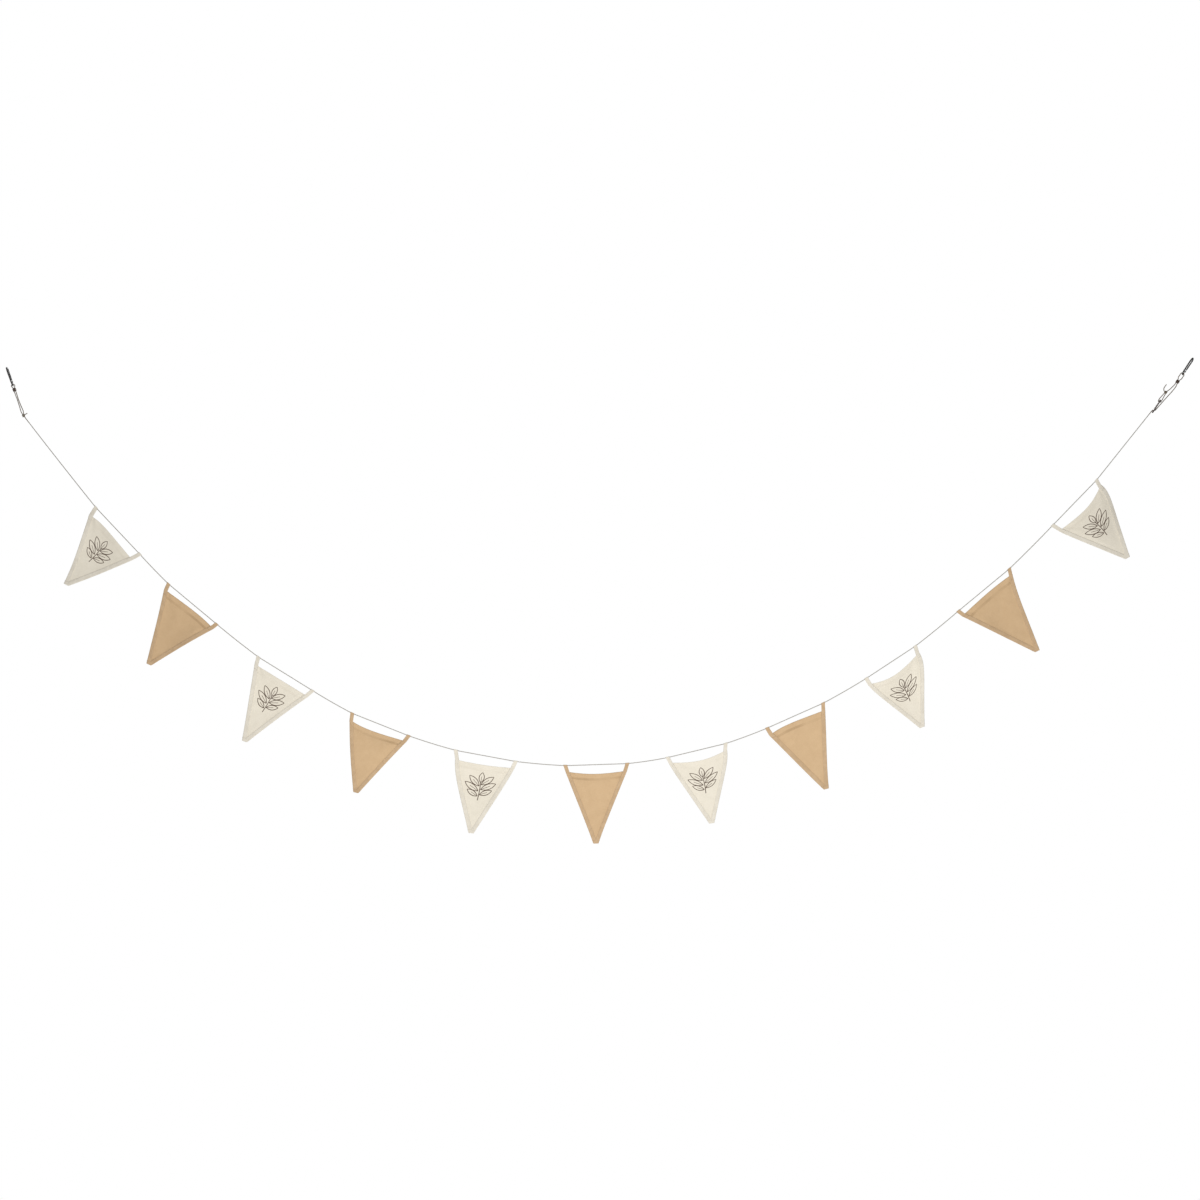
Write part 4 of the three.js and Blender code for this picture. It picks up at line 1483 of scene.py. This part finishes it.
def make_hook(side):
    """One hook's bent bar with its pin, and its gate."""
    hook = hook_frames[side]
    bends = smooth_path([hook.at(a, b) for a, b in HOOK_BENDS], BEND_POINTS)
    bar = bar_tube(f"bar_{side}", even_steps(bends, HOOK_STEP), hook.c, hook_section)
    pin = spun(f"pin_{side}", RIVET, hook.matrix(*HINGE), steps=PIN_STEPS)
    body = joined(f"{side}_hook", [bar, pin])
    body.data.set_sharp_from_angle(angle=math.radians(BODY_SHARP))

    ends = [hook.at(HINGE[0] + GATE_PAST_PIN, HINGE[1]), hook.at(*GATE_TIP)]
    gate = bar_tube(f"{side}_gate", even_steps(ends, GATE_STEP), hook.c, gate_section)
    slot = block(f"slot_{side}", hook.matrix(HINGE[0] - FORK_BACK, HINGE[1]), FORK_SLOT)
    apply_cut(gate, slot)
    gate.data.set_sharp_from_angle(angle=math.radians(GATE_SHARP))
    return body, gate


hooks = {}
for side in ("left", "right"):
    body, gate = make_hook(side)
    for piece, rides_on, node in (
        (body, "string", f"hook_{side}"), (gate, f"{side}_gate", f"gate_{side}"),
    ):
        piece.data.materials.append(hook_metal)
        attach(piece, rides_on)
        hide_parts(node)
    hooks[side] = body
print("hook", [round(c * 1000, 1) for c in hooks["left"].dimensions], "mm")

# %% [markdown]
# ## Collars and slider
# The fittings on the cord are small pieces of dark wood, rubbed smooth. The grain runs
# along each of them, and they all lean differently, so the grain is worked out from
# how far a point lies along the piece: the dot product of its place and the
# piece's own direction.

# %% Dark wood
GRAIN_ALONG, GRAIN_ACROSS, PORES = 45, 750, 3.2
COAT, COAT_ROUGH = 0.15, 0.3


def wood_finish(name, colour, shade, along, out):
    """Dark oiled wood with its grain along a direction."""
    finish = Finish(name, roughness=0.45)
    finish.shader.inputs["Coat Weight"].default_value = COAT
    finish.shader.inputs["Coat Roughness"].default_value = COAT_ROUGH

    def measured(way, scale):
        return finish.place.out(
            "ShaderNodeVectorMath", {"operation": "DOT_PRODUCT"}, output=1,
            i0=finish.place, i1=tuple(way * scale),
        )

    drawn = finish.place.out(
        "ShaderNodeCombineXYZ", i0=measured(along, GRAIN_ALONG),
        i1=measured(out, GRAIN_ACROSS), i2=measured(AWAY, GRAIN_ACROSS),
    )
    streaks = finish.grain(1.0, detail=4.0, where=drawn)
    pores = finish.grain(PORES, detail=1.0, where=drawn).ramp(0.60, 0.68)
    depth = streaks.ramp(0.3, 0.7)
    finish.set("Base Color", (depth * (1 - pores * 0.7)).mix_colour(shade, colour))
    finish.set("Roughness", depth.ramp(0.0, 1.0, 0.55, 0.38))
    finish.bump(streaks * 0.5 - pores * 0.6, 0.35, 0.2 * MM)
    return finish.material


print("features across the grain:", GRAIN_ACROSS, "a metre, along it:", GRAIN_ALONG)


# %% The collars
COLLAR_WIDE = (6.0, 4.2)
BORE_ROOM = 0.6
BORE_LONG = 20
BORE_FLAT = 0.01
COLLAR_EASE, COLLAR_SHARP = 0.25, 50
BARREL = [(0, -5.75), (3.9, -5.75), (4.7, -5.5), (5.4, -4.7), (5.85, -3.0), (6.0, -1.0),
          (6.0, 1.0), (5.85, 3.0), (5.4, 4.7), (4.7, 5.5), (3.9, 5.75), (0, 5.75)]


def make_collar(side, hang, axis, along):
    """A turned barrel, a little flattened, with a slot for two strands of cord."""
    aside = axis.cross(AWAY).normalized()
    centre = hang + axis * along
    seat = Matrix.Translation(centre) @ Matrix((aside, -AWAY, axis)).transposed().to_4x4()
    squash = (1, COLLAR_WIDE[1] / COLLAR_WIDE[0], 1)
    collar = spun(f"{side}_collar", BARREL, seat, stretch=squash)
    wide = (LEG_APART + CORD_RADIUS) / MM * 2 + BORE_ROOM
    deep = CORD_RADIUS / MM * 2 + BORE_ROOM
    bore = block(f"bore_{side}", seat, (wide, deep, BORE_LONG), corner=deep / 2 - BORE_FLAT)
    apply_cut(collar, bore)
    eased(collar, COLLAR_EASE * MM, angle=COLLAR_SHARP)
    collar.data.materials.append(
        wood_finish(f"{side}_collar_wood", tint(92, 68, 54), tint(50, 35, 27), axis, aside)
    )
    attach(collar, "string")
    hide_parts(f"collar_{side}")
    return collar


left_collar = make_collar("left", LEFT_HANG, LEFT_AXIS, LEFT_COLLAR_AT)
right_collar = make_collar("right", RIGHT_HANG, RIGHT_AXIS, RIGHT_COLLAR_AT)
print("collars:", len(left_collar.data.polygons), "and", len(right_collar.data.polygons), "faces")

# %% The slider
SLIDER_SIZE = (17.0, 50.0, 4.5)
SLIDER_CORNER = 4.0
SLIDER_HOLE = 3.2
SLIDER_EASE = 0.7
DRILL_LONG = 12


def make_slider():
    """A flat bar with rounded ends and two holes with eased rims."""
    turned = Matrix((-AWAY, SLIDER_UP, SLIDER_OUT)).transposed().to_4x4()
    middle = Matrix.Translation(by_slider(SLIDER_LENGTH / 2, 0)) @ turned
    slider = block("slider_bar", middle, SLIDER_SIZE, corner=SLIDER_CORNER)
    for up in (LOW_HOLE, TOP_HOLE):
        seat = Matrix.Translation(by_slider(up, 0)) @ turned
        apply_cut(slider, rod("drill", seat, SLIDER_HOLE, DRILL_LONG))
    eased(slider, SLIDER_EASE * MM, segments=3)
    slider.data.materials.append(
        wood_finish("slider_wood", tint(82, 60, 48), tint(44, 31, 25), SLIDER_UP, SLIDER_OUT)
    )
    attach(slider, "string")
    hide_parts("slider")
    return slider


slider = make_slider()
print("slider", len(slider.data.polygons), "faces")

# %% [markdown]
# ## Floor
# The string hangs, so the floor is only there to catch a little light. It is a pale disc
# well below the lowest tip, so low that the photograph's own view never shows it. It
# is too far from the lamps to look white by itself, so it glows a little.

# %% Floor
FLOOR_AT = -3.7
FLOOR_RADIUS = 5.5
FLOOR_SIDES = 128
FLOOR_GLOW = 0.3
FLOOR_MOTTLE = 0.4
bm = bmesh.new()
bmesh.ops.create_circle(bm, cap_ends=True, segments=FLOOR_SIDES, radius=FLOOR_RADIUS)
bmesh.ops.translate(bm, verts=bm.verts, vec=Vector((PHOTO_CENTRE.x, 0, FLOOR_AT)))
floor = finished("floor", bm)
floor_finish = Finish("floor", roughness=0.9)
floor_finish.shader.inputs["Emission Color"].default_value = (1, 1, 1, 1)
floor_finish.shader.inputs["Emission Strength"].default_value = FLOOR_GLOW
pale = floor_finish.grain(FLOOR_MOTTLE).mix_colour(tint(250, 250, 250), tint(253, 253, 253))
floor_finish.set("Base Color", pale)
floor.data.materials.append(floor_finish.material)
print("floor", -FLOOR_AT, "m below the left hook")
